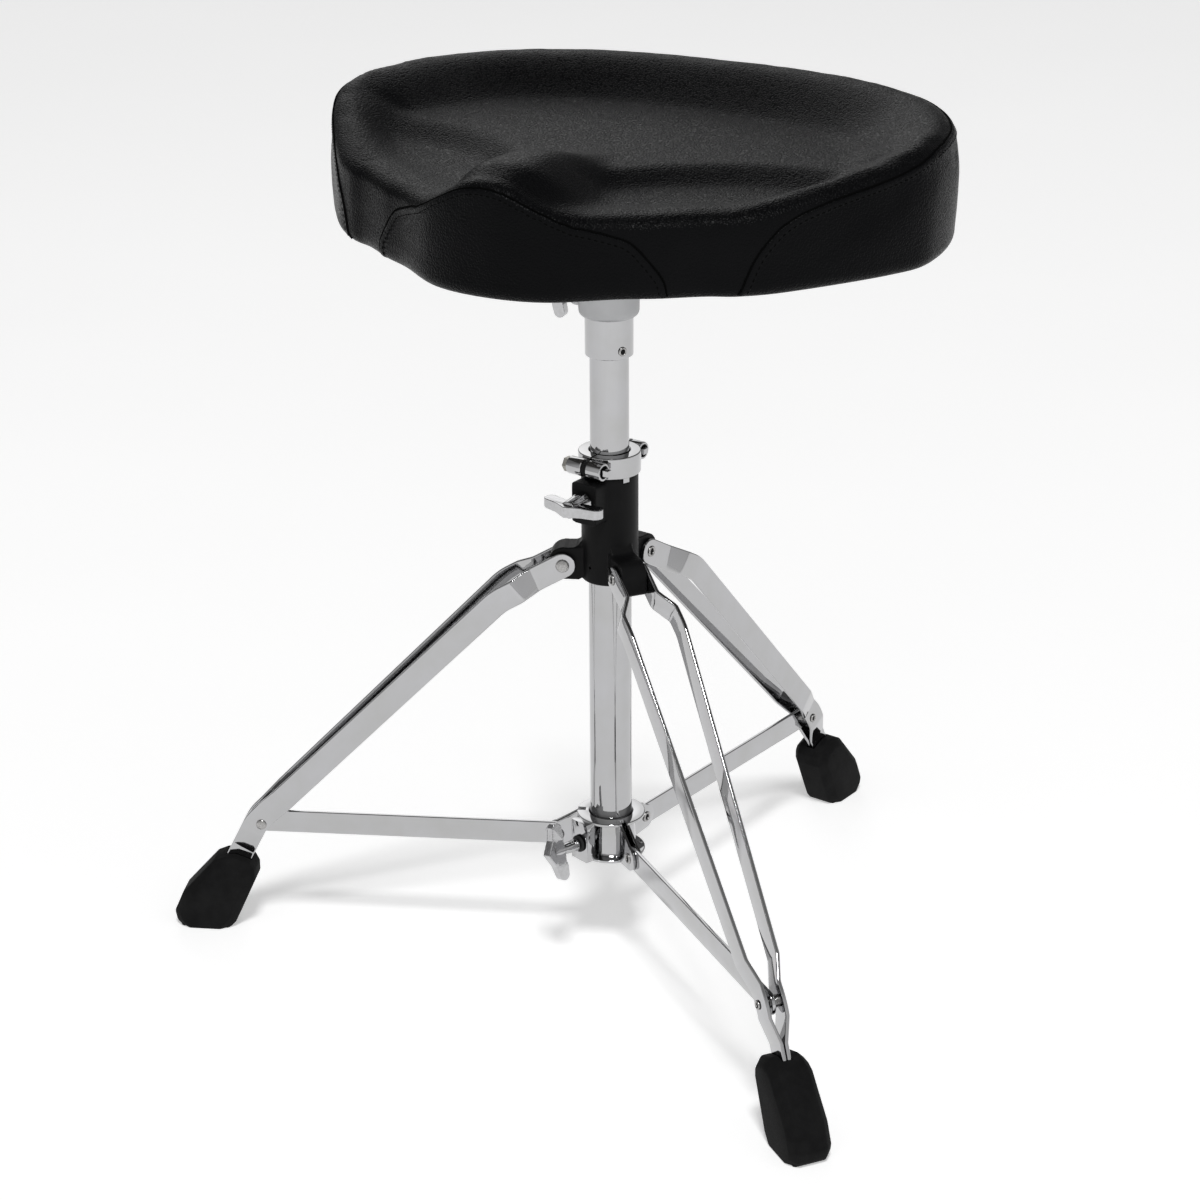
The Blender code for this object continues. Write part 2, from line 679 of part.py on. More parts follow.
def leg_foot(name, parent):
    bm = bmesh.new()

    def place(u, v, w):
        return Vector((u - LEG_PIVOT[0], w, v - LEG_PIVOT[1]))

    prism(bm, foot_outline(), -FOOT_HALF_WIDTH, FOOT_HALF_WIDTH, place)
    foot = finish(name, bm, RUBBER, parent)
    side_mesh = bmesh.new()
    side_mesh.from_mesh(foot.data)
    chamfered = [e for e in side_mesh.edges
                 if abs(e.verts[0].co.y - e.verts[1].co.y) < 1e-6
                 and max(v.co.z for v in e.verts) + LEG_PIVOT[1] > 0.002]
    bmesh.ops.bevel(side_mesh, geom=chamfered, offset=FOOT_CHAMFER, segments=1, affect="EDGES",
                    clamp_overlap=True)
    side_mesh.to_mesh(foot.data)
    side_mesh.free()

    def pocket(helper_mesh):
        side_path = SidePath()
        end = side_path.length
        point, up = side_path.at(end)
        run = Vector((up.y, -up.x))
        half = STRAP_WIDTH / 2 + RUNNING_GAP
        bottom = point + run * FOOT_POCKET_PLAY
        mouth = point - run * FOOT_POCKET_REACH
        corners = [bottom + up * half, bottom - up * half, mouth - up * half, mouth + up * half]
        wide = STRAP_SPREAD[-1][1] + STRAP_THICKNESS / 2 + RUNNING_GAP
        prism(helper_mesh, [(c.x, c.y) for c in corners], -wide, wide, place)

    modify(foot, helper(name + "_pocket", pocket, parent), "DIFFERENCE")

    def grooves(helper_mesh):
        for i in range(FOOT_GROOVES):
            x = FOOT_GROOVE_START + FOOT_GROOVE_PITCH * i - LEG_PIVOT[0]
            box(helper_mesh, (x, -0.03, -LEG_PIVOT[1] - 0.01),
                (x + FOOT_GROOVE_WIDTH, 0.03, -LEG_PIVOT[1] + FOOT_TREAD))

    modify(foot, helper(name + "_grooves", grooves, parent), "DIFFERENCE")
    return foot


# ---------------------------------------------------------------- lower clamp
def brace_ear_outline():
    pivot_r, pivot_z = BRACE_PIVOT
    low, high = CLAMP_Z
    nose = arc((pivot_r, pivot_z), 0.0095, -90, 80, 5)
    return [(CLAMP_R - 0.0012, low)] + nose + [(pivot_r - 0.009, high - 0.006), (CLAMP_R + 0.002, high),
                                               (CLAMP_R - 0.0012, high)]


def clamp_ears(collar, parent, turned, leg):
    """The pair of ears that holds one brace, with the gap for it cut through the flanges first."""
    base = CLAMP_Z[0]
    height = CLAMP_Z[1] - base
    inner = BRACE_THICKNESS / 2 + BRACE_PLAY

    def slot(helper_mesh):
        wide = inner + CUT_LAP
        box(helper_mesh, (CLAMP_R + CUT_LAP, -wide, -0.01), (FLANGE_R + 0.01, wide, height + 0.01))

    modify(collar, helper("clamp_brace_slot_" + leg, slot, parent, rotation=turned), "DIFFERENCE")
    for label, side in (("left", 1), ("right", -1)):

        def ear_shape(helper_mesh):
            outline = [(u, v - base) for u, v in brace_ear_outline()]
            low, high = sorted((side * inner, side * (inner + EAR_THICKNESS)))
            prism(helper_mesh, outline, low, high, side_view)

        modify(collar, helper(f"clamp_ear_{leg}_{label}", ear_shape, parent, rotation=turned), "UNION")

    def rivet_hole(helper_mesh):
        z = BRACE_PIVOT[1] - base
        rod(helper_mesh, CLAMP_RIVET_R + RUNNING_GAP, (BRACE_PIVOT[0], -0.01, z), (BRACE_PIVOT[0], 0.01, z))

    modify(collar, helper("clamp_rivet_hole_" + leg, rivet_hole, parent, rotation=turned), "DIFFERENCE")


def clamp_collar(parent):
    bm = bmesh.new()
    low, high = (z - CLAMP_Z[0] for z in CLAMP_Z)
    lathe(bm, [(CLAMP_BORE, low), (FLANGE_R, low), (FLANGE_R, low + SHEET), (CLAMP_R, low + SHEET),
               (CLAMP_R, high - SHEET), (FLANGE_R, high - SHEET), (FLANGE_R, high), (CLAMP_BORE, high)])
    collar = finish("clamp_collar", bm, CHROME, parent)

    turned = (0, 0, math.radians(CLAMP_BOLT_AZIMUTH))

    def block(helper_mesh):
        near, far = CLAMP_BLOCK
        side = CLAMP_BLOCK_HALF_WIDTH
        box(helper_mesh, (near, -side, CUT_LAP), (far, side, high - CUT_LAP))

    modify(collar, helper("clamp_bolt_block", block, parent, rotation=turned), "UNION")

    def bolt_hole(helper_mesh):
        z = CLAMP_BOLT_Z - CLAMP_Z[0]
        rod(helper_mesh, CLAMP_BOLT["shank_r"] + RUNNING_GAP, (0.012, 0, z), (0.045, 0, z))

    modify(collar, helper("clamp_bolt_hole", bolt_hole, parent, rotation=turned), "DIFFERENCE")
    for leg, azimuth in LEG_AZIMUTHS.items():
        clamp_ears(collar, parent, (0, 0, math.radians(azimuth)), leg)
    return collar


def clamp_washer(parent):
    """The black washer between the block and the clamp's wing bolt."""
    bm = bmesh.new()
    bore = CLAMP_BOLT["shank_r"] + RUNNING_GAP
    near = CLAMP_BLOCK[1] + RUNNING_GAP
    far = near + CLAMP_WASHER_THICKNESS
    lathe(bm, [(bore, near), (CLAMP_WASHER_R, near), (CLAMP_WASHER_R, far), (bore, far)], MEDIUM_ROUND,
          along((1, 0, 0)))
    place = (0, 0, CLAMP_BOLT_Z - CLAMP_Z[0])
    return finish("clamp_washer", bm, NYLON, parent, place, (0, 0, math.radians(CLAMP_BOLT_AZIMUTH)))


def brace(name, parent):
    """A flat strap from the clamp to the leg, with round ends; its origin is the clamp's pivot."""
    run = Vector((BRACE_PIVOT_ON_LEG[0] - BRACE_PIVOT[0], BRACE_PIVOT_ON_LEG[1] - BRACE_PIVOT[1]))
    half = BRACE_WIDTH / 2
    slope = math.degrees(math.atan2(run.y, run.x))
    outline = (arc((0, 0), half, slope + 90, slope + 270, 12)
               + arc((run.x, run.y), half, slope - 90, slope + 90, 12))
    bm = bmesh.new()
    prism(bm, outline, -BRACE_THICKNESS / 2, BRACE_THICKNESS / 2, side_view)
    strap = finish(name, bm, CHROME, parent)

    def inner_hole(helper_mesh):
        rod(helper_mesh, CLAMP_RIVET_R + RUNNING_GAP, (0, -0.01, 0), (0, 0.01, 0))

    def outer_hole(helper_mesh):
        rod(helper_mesh, SMALL_RIVET_R + RUNNING_GAP, (run.x, -0.01, run.y), (run.x, 0.01, run.y))

    modify(strap, helper(name + "_inner_hole", inner_hole, parent), "DIFFERENCE")
    modify(strap, helper(name + "_outer_hole", outer_hole, parent), "DIFFERENCE")
    return strap


# ---------------------------------------------------------------- seat
def spline(points, steps):
    """A smooth curve through points (Catmull-Rom), mirrored ends for a smooth crossing of the middle."""
    first = (-points[1][0], points[1][1])
    last = (-points[-2][0], points[-2][1])
    guides = [first] + list(points) + [last]
    curve = []
    for a, b, c, d in zip(guides, guides[1:], guides[2:], guides[3:]):
        for i in range(steps):
            t = i / steps
            curve.append(tuple(0.5 * (2 * q + (r - p) * t + (2 * p - 5 * q + 4 * r - s) * t * t
                                      + (3 * q - p - 3 * r + s) * t ** 3)
                               for p, q, r, s in zip(a, b, c, d)))
    return curve + [tuple(points[-1])]


def seat_outline(inset=0.0, steps=2):
    """The seat's whole plan outline, drawn in by inset."""
    half = spline(SEAT_OUTLINE, steps)
    loop = half + [(-x, y) for x, y in reversed(half[1:-1])]
    drawn = []
    for i, point in enumerate(loop):
        before = Vector(loop[i - 1])
        after = Vector(loop[(i + 1) % len(loop)])
        run = (after - before).normalized()
        drawn.append((point[0] - run.y * inset, point[1] + run.x * inset))
    return drawn


def ramp(value, low, high):
    """0 below low, 1 above high, smooth between."""
    share = min(max((value - low) / (high - low), 0.0), 1.0)
    return share * share * (3 - 2 * share)


def edge_height(x, y):
    """Height of the seat's rolled top edge: nose in front, scooped thighs, bolster round the back."""
    nose = NOSE_RISE * math.exp(-(x / 0.040) ** 2) * ramp(-y, 0.09, 0.14)
    bolster = BOLSTER_RISE * min(max((y + 0.105) / 0.150, 0.0), 1.0)
    return SEAT_EDGE_Z + nose + bolster


def pan_height(x, y):
    """Height of the sitting surface inside the bolster."""
    along_nose = min(max((0.04 - y) / 0.21, 0.0), 1.0)
    return SEAT_EDGE_Z - 0.001 + (NOSE_RISE + 0.002) * math.exp(-(x / 0.038) ** 2) * along_nose ** 1.3


def cushion_rings():
    """(inset, height) rings from the pocket under the seat, round the side and over the top."""
    pocket = BOARD_INSET - RUNNING_GAP
    ceiling = SEAT_BOTTOM + BOARD_THICKNESS + 2 * RUNNING_GAP
    rings = [(pocket, lambda x, y: ceiling), (pocket, lambda x, y: SEAT_BOTTOM),
             (0.005, lambda x, y: SEAT_BOTTOM), (0.0012, lambda x, y: SEAT_BOTTOM + 0.003),
             (0.0, lambda x, y: SEAT_BOTTOM + 0.010)]
    for inset, drop in ((0.0, 0.014), (0.0025, 0.006), (RIM_INSET, 0.0005)):
        rings.append((inset, lambda x, y, d=drop: edge_height(x, y) - d))
    return rings


def cushion(parent):
    bm = bmesh.new()
    rings = []
    for inset, height in cushion_rings():
        rings.append([bm.verts.new((x, y, height(x, y))) for x, y in seat_outline(inset)])
    rim = seat_outline(RIM_INSET)
    for share in (0.87, 0.74, 0.60, 0.42, 0.22):
        ring = []
        for x, y in rim:
            u = x * share
            v = SEAT_CENTRE_Y + (y - SEAT_CENTRE_Y) * share
            blend = ramp(share, 0.62, 1.0)
            z = pan_height(u, v) * (1 - blend) + edge_height(x, y) * blend
            ring.append(bm.verts.new((u, v, z)))
        rings.append(ring)
    for one, two in zip(rings, rings[1:]):
        for i in range(len(one)):
            j = (i + 1) % len(one)
            bm.faces.new([one[i], one[j], two[j], two[i]])
    bm.faces.new(list(reversed(rings[0])))
    top = bm.verts.new((0, SEAT_CENTRE_Y, pan_height(0, SEAT_CENTRE_Y)))
    for i in range(len(rings[-1])):
        bm.faces.new([rings[-1][i], rings[-1][(i + 1) % len(rings[-1])], top])
    return finish("seat_cushion", bm, VINYL, parent)


def seat_board(parent):
    bm = bmesh.new()
    low = SEAT_BOTTOM + RUNNING_GAP
    prism(bm, seat_outline(BOARD_INSET), low, low + BOARD_THICKNESS, lambda u, v, w: Vector((u, v, w)))
    board = finish("seat_board", bm, PLYWOOD, parent)
    cut_screw_holes(board, "board", parent)
    return board


def screw_places():
    return [(BRACKET_SCREW * sx, BRACKET_SCREW * sy) for sx, sy in ((-1, -1), (1, -1), (1, 1), (-1, 1))]


def cut_screw_holes(obj, label, parent):

    def drill(helper_mesh):
        for x, y in screw_places():
            rod(helper_mesh, BRACKET_SCREW_R + RUNNING_GAP, (x, y, SEAT_BOTTOM - 0.03),
                (x, y, SEAT_BOTTOM + 0.0105))

    modify(obj, helper(label + "_screw_holes", drill, parent), "DIFFERENCE")


def seat_bracket(parent):
    """The cast socket under the seat: round neck, square plate and a boss for the wing bolt."""
    low, high = BRACKET_Z
    plate = high - BRACKET_PLATE_THICKNESS
    bm = bmesh.new()
    shoulder = arc((BRACKET_R - 0.0045, low + 0.0050), 0.0045, -75, 0, 4)
    lathe(bm, [(0, low), (0.0182, low)] + shoulder + [(BRACKET_R, plate - 0.012), (0.030, plate + 0.001),
                                                      (0, plate + 0.001)])
    bracket = finish("seat_bracket", bm, SATIN, parent)

    def plate_shape(helper_mesh):
        side = BRACKET_PLATE
        corner = 0.010
        outline = []
        for sx, sy, start in ((1, 1, 0), (-1, 1, 90), (-1, -1, 180), (1, -1, 270)):
            outline += arc((sx * (side - corner), sy * (side - corner)), corner, start, start + 90, 4)
        prism(helper_mesh, outline, plate, high, lambda u, v, w: Vector((u, v, w)))

    modify(bracket, helper("bracket_plate", plate_shape, parent), "UNION")

    def boss(helper_mesh):
        profile = [(0, 0.010), (0.0105, 0.010), (0.0105, 0.0265), (0.0098, 0.0279), (0.0085, 0.0285),
                   (0, 0.0285)]
        lathe(helper_mesh, profile, MEDIUM_ROUND, along((-1, 0, 0), (0, 0, SEAT_BOLT_Z)))

    modify(bracket, helper("bracket_boss", boss, parent), "UNION")

    def bore(helper_mesh):
        ceiling = SLEEVE_Z[1] + 0.0015
        rod(helper_mesh, SLEEVE_R + RUNNING_GAP, (0, 0, low - 0.01), (0, 0, ceiling), LARGE_ROUND)

    modify(bracket, helper("bracket_bore", bore, parent), "DIFFERENCE")

    def bolt_hole(helper_mesh):
        radius = SEAT_BOLT["shank_r"] + RUNNING_GAP
        rod(helper_mesh, radius, (-0.010, 0, SEAT_BOLT_Z), (-0.04, 0, SEAT_BOLT_Z))

    modify(bracket, helper("bracket_bolt_hole", bolt_hole, parent), "DIFFERENCE")
    cut_screw_holes(bracket, "bracket", parent)
    return bracket


def bracket_screw(name, parent, x, y):
    """Hexagon screw from below, through the plate into the board."""
    bm = bmesh.new()
    seat = BRACKET_Z[1] - BRACKET_PLATE_THICKNESS - RUNNING_GAP
    rod(bm, BRACKET_SCREW_R, (0, 0, -0.002), (0, 0, 0.0150))
    screw = finish(name, bm, ZINC, parent, (x, y, seat))

    def head(helper_mesh):
        lathe(helper_mesh, [(0, -0.0045), (0.0055, -0.0045), (0.0058, -0.0040), (0.0058, 0), (0, 0)], 6)

    modify(screw, helper(name + "_head", head, parent, (x, y, seat)), "UNION")
    return screw


# ---------------------------------------------------------------- assembly
def build_stand(axis):
    tube("outer_tube", axis, OUTER_TUBE_BORE, OUTER_TUBE_R, OUTER_TUBE_Z, CHROME)
    tube_end_cap(axis)
    hub(axis)
    hub_bushing(axis)
    for leg, azimuth in LEG_AZIMUTHS.items():
        spoke = empty("spoke_" + leg, axis, azimuth=azimuth)
        grip = 2 * (STRAP_SPREAD[0][1] + STRAP_THICKNESS / 2 + RUNNING_GAP)
        rivet(f"leg_{leg}_pivot_rivet", spoke, (LEG_PIVOT[0], 0, LEG_PIVOT[1]), (0, 1, 0), RIVET_R, grip)
    wing_bolt("height_wing_bolt", axis, (0, 0, HEIGHT_BOLT_Z), (math.radians(90), 0, math.radians(-90)),
              HUB_BORE + RUNNING_GAP, **HEIGHT_BOLT)


def build_leg(axis, leg, azimuth):
    spoke = empty("leg_spoke_" + leg, axis, azimuth=azimuth)
    pivot = empty("leg_pivot_" + leg, spoke, (LEG_PIVOT[0], 0, LEG_PIVOT[1]))
    leg_strap(f"leg_{leg}_strap_left", pivot, 1)
    leg_strap(f"leg_{leg}_strap_right", pivot, -1)
    brace_stud(f"leg_{leg}_brace_rivet_head", pivot, 1)
    brace_stud(f"leg_{leg}_brace_rivet_tail", pivot, -1)
    leg_foot(f"leg_{leg}_foot", pivot)


def build_clamp(axis):
    slider = empty("clamp_slider", axis, (0, 0, CLAMP_Z[0]))
    clamp_collar(slider)
    for leg, azimuth in LEG_AZIMUTHS.items():
        spoke = empty("clamp_spoke_" + leg, slider, azimuth=azimuth)
        place = (BRACE_PIVOT[0], 0, BRACE_PIVOT[1] - CLAMP_Z[0])
        grip = 2 * (BRACE_THICKNESS / 2 + BRACE_PLAY + EAR_THICKNESS + RUNNING_GAP)
        rivet(f"brace_{leg}_pivot_rivet", spoke, place, (0, 1, 0), CLAMP_RIVET_R, grip)
        brace(f"brace_{leg}", empty("brace_pivot_" + leg, spoke, place))
    clamp_washer(slider)
    wing_bolt("clamp_wing_bolt", slider, (0, 0, CLAMP_BOLT_Z - CLAMP_Z[0]),
              (math.radians(CLAMP_WING_TILT), 0, math.radians(CLAMP_BOLT_AZIMUTH)),
              OUTER_TUBE_R + 2 * RUNNING_GAP, **CLAMP_BOLT)


def build_memory_lock(axis):
    lock_half("memory_lock_left", axis, -1)
    lock_half("memory_lock_right", axis, 1)
    lock_screw("memory_lock_key_screw", axis, -1, True)
    lock_nut("memory_lock_key_nut", axis, -1)
    lock_screw("memory_lock_rear_screw", axis, 1, False)
    lock_nut("memory_lock_rear_nut", axis, 1)


def build_seat(axis):
    swivel = empty("seat_swivel", axis, azimuth=SEAT_TURN)
    cushion(swivel)
    seat_board(swivel)
    seat_bracket(swivel)
    for i, (x, y) in enumerate(screw_places()):
        bracket_screw(f"bracket_screw_{i + 1}", swivel, x, y)
    wing_bolt("seat_wing_bolt", swivel, (0, 0, SEAT_BOLT_Z), (0, 0, math.radians(180)),
              SLEEVE_R + 2 * RUNNING_GAP, **SEAT_BOLT)


def main():
    clear_scene()
    axis = empty("post_axis", location=(0, AXIS_Y, 0))
    build_stand(axis)
    post_parts(axis)
    build_memory_lock(axis)
    for leg, azimuth in LEG_AZIMUTHS.items():
        build_leg(axis, leg, azimuth)
    build_clamp(axis)
    build_seat(axis)


main()
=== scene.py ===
"""The looks of the drum throne: finer pieces, materials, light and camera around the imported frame.

Sizes are in metres. Every piece is made in the frame's own coordinates and rides on a CAD body.
"""

import json
import math

import bmesh
import bpy
import numpy as np
from mathutils import Matrix, Vector
from mathutils.bvhtree import BVHTree
from mathutils.kdtree import KDTree

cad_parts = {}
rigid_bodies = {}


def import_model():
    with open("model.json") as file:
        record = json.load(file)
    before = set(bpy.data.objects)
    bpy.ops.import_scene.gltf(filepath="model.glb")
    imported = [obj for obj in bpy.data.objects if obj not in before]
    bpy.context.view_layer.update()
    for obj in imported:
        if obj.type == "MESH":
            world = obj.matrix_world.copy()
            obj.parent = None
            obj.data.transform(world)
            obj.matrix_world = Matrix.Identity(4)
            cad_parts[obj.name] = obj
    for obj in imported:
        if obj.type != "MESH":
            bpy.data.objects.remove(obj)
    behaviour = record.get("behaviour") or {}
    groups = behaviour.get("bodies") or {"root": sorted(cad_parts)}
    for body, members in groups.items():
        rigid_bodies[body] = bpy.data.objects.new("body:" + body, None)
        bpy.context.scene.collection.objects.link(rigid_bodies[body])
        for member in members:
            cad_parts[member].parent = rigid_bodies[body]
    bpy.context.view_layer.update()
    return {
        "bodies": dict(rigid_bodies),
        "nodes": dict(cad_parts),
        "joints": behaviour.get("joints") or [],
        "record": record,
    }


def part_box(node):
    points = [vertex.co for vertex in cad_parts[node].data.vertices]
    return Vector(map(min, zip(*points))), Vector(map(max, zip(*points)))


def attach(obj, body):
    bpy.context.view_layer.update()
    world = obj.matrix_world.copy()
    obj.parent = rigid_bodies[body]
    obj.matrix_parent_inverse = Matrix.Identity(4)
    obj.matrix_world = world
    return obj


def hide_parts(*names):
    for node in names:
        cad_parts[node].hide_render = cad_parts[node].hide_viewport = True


# ---------------------------------------------------------------- driving dimensions
GAP = 0.0003
TUBE_SIDES = 128
ROUND = 48
SMALL_ROUND = 28

POST_R = 0.0143
POST_BORE = 0.0123
OUTER_R = 0.015875
OUTER_BORE = 0.01465
SLEEVE_R = 0.0176
SLEEVE_RIVET_AZIMUTH = 339.0
SLEEVE_RIVET_Z = 0.4852

HUB_R = 0.021
HUB_BORE = 0.0162
LEG_PIVOT = (0.0338, 0.3185)
LUG_HALF_WIDTH = 0.0099
# the web over each lug, as (distance from the post's axis, height over the leg's pivot)
LUG_WEB = ((0.0175, 0.012), (0.0175, 0.022), (0.0205, 0.018), (0.0230, 0.0145), (0.0285, 0.012))
BOSS_HALF_WIDTH = 0.011
BOSS_REACH = 0.032
HEIGHT_BOLT_Z = 0.3745
HEIGHT_HOLE_R = 0.0045
HUB_PIN_AZIMUTH = 262.0        # the small blind hole in the hub's side
HUB_PIN_Z = 0.3190
HUB_PIN_R = 0.0011
KEY_AZIMUTH = 342.0

LOCK_R = 0.0225
LOCK_SCREW_Y = 0.027
LOCK_SCREW_Z = 0.3994
LOCK_LUG_R = 0.0066
LOCK_REACH = {-1: 0.0150, 1: 0.0110}
LOCK_SPLIT = 0.0012
LOCK_SCREW_R = 0.0030
LOCK_RECESS_R = 0.0050
LOCK_RECESS_DEPTH = 0.0026

STRAP_WIDTH = 0.019
STRAP_THICKNESS = 0.003
STRAP_EDGE = 0.0011
KNEE = (0.0810, 0.2915)
ANKLE = (0.2760, 0.0915)
TOE = (0.2995, 0.0445)
BRACE_PIVOT_ON_LEG = (0.2719, 0.0903)
BRACE_GRIP = 0.0067
STRAP_SPREAD = ((0.024, 0.0117), (0.039, 0.0208), (0.055, 0.0208), (0.302, 0.0121),
                (0.321, BRACE_GRIP), (0.343, BRACE_GRIP), (0.361, 0.00185))
KNEE_BEND_R = 0.045
ANKLE_BEND_R = 0.040

CLAMP_R = 0.0187
FLANGE_R = 0.0260
SHEET = 0.0024
BRACE_PIVOT = (0.0410, 0.0920)
BRACE_WIDTH = 0.018
BRACE_THICKNESS = 0.003
BRACE_PLAY = 0.0004
STUD_HEAD_R = 0.0041
STUD_ROLL_R = 0.0036
STUD_SPACER_R = 0.0046

RIVET_R = 0.0030
SMALL_RIVET_R = 0.0024
CLAMP_RIVET_R = 0.0030
RIVET_HEAD = 1.68              # radii of a rivet's parts, in shank radii
RIVET_ROLL = 1.42
RIVET_HOLLOW = 0.74
RIVET_FIT = 0.0001             # how far a rivet's head stands off what it holds

FOOT_HALF_WIDTH = 0.0165
FOOT_CHAMFER = 0.006
FOOT_POCKET_PLAY = 0.0008      # free depth under the straps' ends
FOOT_POCKET_REACH = 0.06
FOOT_POCKET_HALF_WIDTH = 0.0039
FOOT_NUB_START = (0.3030, -0.0105)
FOOT_NUB_PITCH = (0.0085, 0.0070)
FOOT_NUBS = (5, 4)

HEIGHT_BOLT = {"shank_r": 0.0040, "shank_end": 0.0170, "neck": (0.0325, 0.0425), "neck_r": 0.0080,
               "wing": (0.0400, 0.0520), "span": 0.0255, "thick": 0.0042}
CLAMP_BOLT = {"shank_r": 0.0030, "shank_end": OUTER_R + 2 * GAP, "neck": (0.0343, 0.0470),
              "neck_r": 0.0044, "wing": (0.0470, 0.0600), "span": 0.0225, "thick": 0.0040}
SEAT_BOLT = {"shank_r": 0.0040, "shank_end": 0.0195, "neck": (0.0290, 0.0370), "neck_r": 0.0070,
             "wing": (0.0350, 0.0465), "span": 0.0220, "thick": 0.0036}

EAR_THICKNESS = 0.0020
CLAMP_BOLT_AZIMUTH = 257.0
CLAMP_BOLT_Z = 0.0955
CLAMP_WING_TILT = 15.0
CLAMP_BLOCK = (0.0245, 0.0315)
CLAMP_BLOCK_HALF_WIDTH = 0.0093
CLAMP_HOLE_R = 0.0033

SEAT_BOTTOM = 0.568
SEAT_BOLT_Z = 0.523
SEAT_EDGE_Z = 0.6235           # rolled top edge over the thighs
# how much higher that edge is further back, as (y, rise)
RIM_RISE = ((-0.135, 0.0), (-0.105, 0.0015), (-0.076, 0.0065), (-0.043, 0.0130), (-0.012, 0.0195),
            (0.010, 0.0235), (0.045, 0.0275), (0.110, 0.0292), (0.200, 0.0305))
NOSE_RISE = 0.022
NOSE_HALF_WIDTH = 0.044
PAN_Z = 0.6290                 # the bowl, before the thigh scoops lower it
PAN_RINGS = 52
PAN_CENTRE = (0.0, 0.010)      # where the rings of the sitting surface shrink to
SCOOP_HALF_WIDTH = 0.173       # |x| at which a thigh scoop's back edge reaches SCOOP_FRONT
SCOOP_FRONT = 0.013            # y of that edge there; it curves forward towards the middle
SCOOP_DEPTH = 0.0100
CREST_RISE = 0.0220            # the ridge between the thighs, at the nose
SCOOP_CURVE = 5.1e-7
SCOOP_POWER = 2.37
ROLL_DEPTH = 0.013
ROLL_DROP = 0.0090
TUCK = 0.0117                  # how far in from the outline the cover folds up under the seat
BOTTOM_ROUND_R = 0.0100
SOFTENING_PASSES = 8
PUFF_VOXEL = 0.006
PUFF_FRAMES = 20
PUFF_LIMIT = 0.0016
SEAM_STEP = 0.0015
SEAM_BAND = (0.0062, 0.00085)  # width and height of the turned-under edge
SEAM_LINE_R = 0.00060
STITCH = {"offset": 0.0049, "pitch": 0.0045, "length": 0.0030, "radius": 0.00036, "lift": 0.00050}
BRACKET_R = 0.0219
BRACKET_PLATE = 0.055
# half of the seat's plan outline, from the nose round to the back
SEAT_OUTLINE = ((0.0, -0.181), (0.043, -0.173), (0.083, -0.1445), (0.106, -0.131),
                (0.131, -0.113), (0.152, -0.102), (0.178, -0.076), (0.221, -0.012),
                (0.235, 0.030), (0.223, 0.094), (0.176, 0.155), (0.096, 0.191), (0.0, 0.200))

CAMERA_DISTANCE = 2.034778     # from the post's axis, level
CAMERA_HEIGHT = 1.141925
CAMERA_AZIMUTH = 36.53
CAMERA_HEADING = 0.0037289     # radians, beside the way to the post
CAMERA_DIP = 0.397596
CAMERA_ROLL = -0.0055821
CAMERA_LENS = 89.233
WALL_WAY = (-0.640, 0.651, 0.407)
# brightness of the room from the side opposite the wall (0) to the wall's middle (1)
ROOM_TONES = ((0.0, 0.75), (0.45, 0.55), (0.72, 0.20), (0.962, 0.20), (0.991, 1.2), (1.0, 1.7))
ROOF_RANGE = (0.55, 0.93)      # heights of the view over which the room darkens overhead
ROOF_TONES = (1.0, 0.12)
FLOOR_HALF = 12.0


# ---------------------------------------------------------------- mesh helpers
def link(obj):
    bpy.context.scene.collection.objects.link(obj)
    return obj


def make(name, bm, material, smooth_angle=38.0):
    """A bmesh as a named object with one material."""
    bmesh.ops.recalc_face_normals(bm, faces=bm.faces)
    mesh = bpy.data.meshes.new(name)
    bm.to_mesh(mesh)
    bm.free()
    obj = link(bpy.data.objects.new(name, mesh))
    shade(mesh, smooth_angle)
    if material is not None:
        mesh.materials.append(material)
    return obj


def shade(mesh, angle):
    for polygon in mesh.polygons:
        polygon.use_smooth = True
    mesh.set_sharp_from_angle(angle=math.radians(angle))


def settle(obj, smooth_angle=38.0):
    """Apply an object's modifiers, so that its mesh is final."""
    bpy.context.view_layer.update()
    graph = bpy.context.evaluated_depsgraph_get()
    mesh = bpy.data.meshes.new_from_object(obj.evaluated_get(graph))
    old = obj.data
    obj.modifiers.clear()
    obj.data = mesh
    mesh.name = obj.name
    bpy.data.meshes.remove(old)
    shade(mesh, smooth_angle)
    return obj


def lathe(bm, profile, segments, matrix=Matrix.Identity(4)):
    """Spin a closed outline of (radius, height) points about Z."""
    rings = []
    for radius, height in profile:
        if radius < 1e-7:
            rings.append([bm.verts.new(matrix @ Vector((0, 0, height)))])
            continue
        turn = [math.tau * i / segments for i in range(segments)]
        rings.append([bm.verts.new(matrix @ Vector((radius * math.cos(a), radius * math.sin(a), height)))
                      for a in turn])
    for low, high in zip(rings, rings[1:] + rings[:1]):
        if len(low) == 1 and len(high) == 1:
            continue
        for i in range(segments):
            j = (i + 1) % segments
            corners = [low[i % len(low)], low[j % len(low)], high[j % len(high)], high[i % len(high)]]
            bm.faces.new(list(dict.fromkeys(corners)))


def along(axis, point=(0, 0, 0)):
    """A matrix that lays a lathe's Z along an axis, starting at a point."""
    return Matrix.Translation(point) @ Vector(axis).to_track_quat("Z", "Y").to_matrix().to_4x4()


def rod(bm, radius, start, end, segments=ROUND, matrix=Matrix.Identity(4)):
    start = Vector(start)
    run = Vector(end) - start
    profile = [(0, 0), (radius, 0), (radius, run.length), (0, run.length)]
    lathe(bm, profile, segments, matrix @ along(run, start))


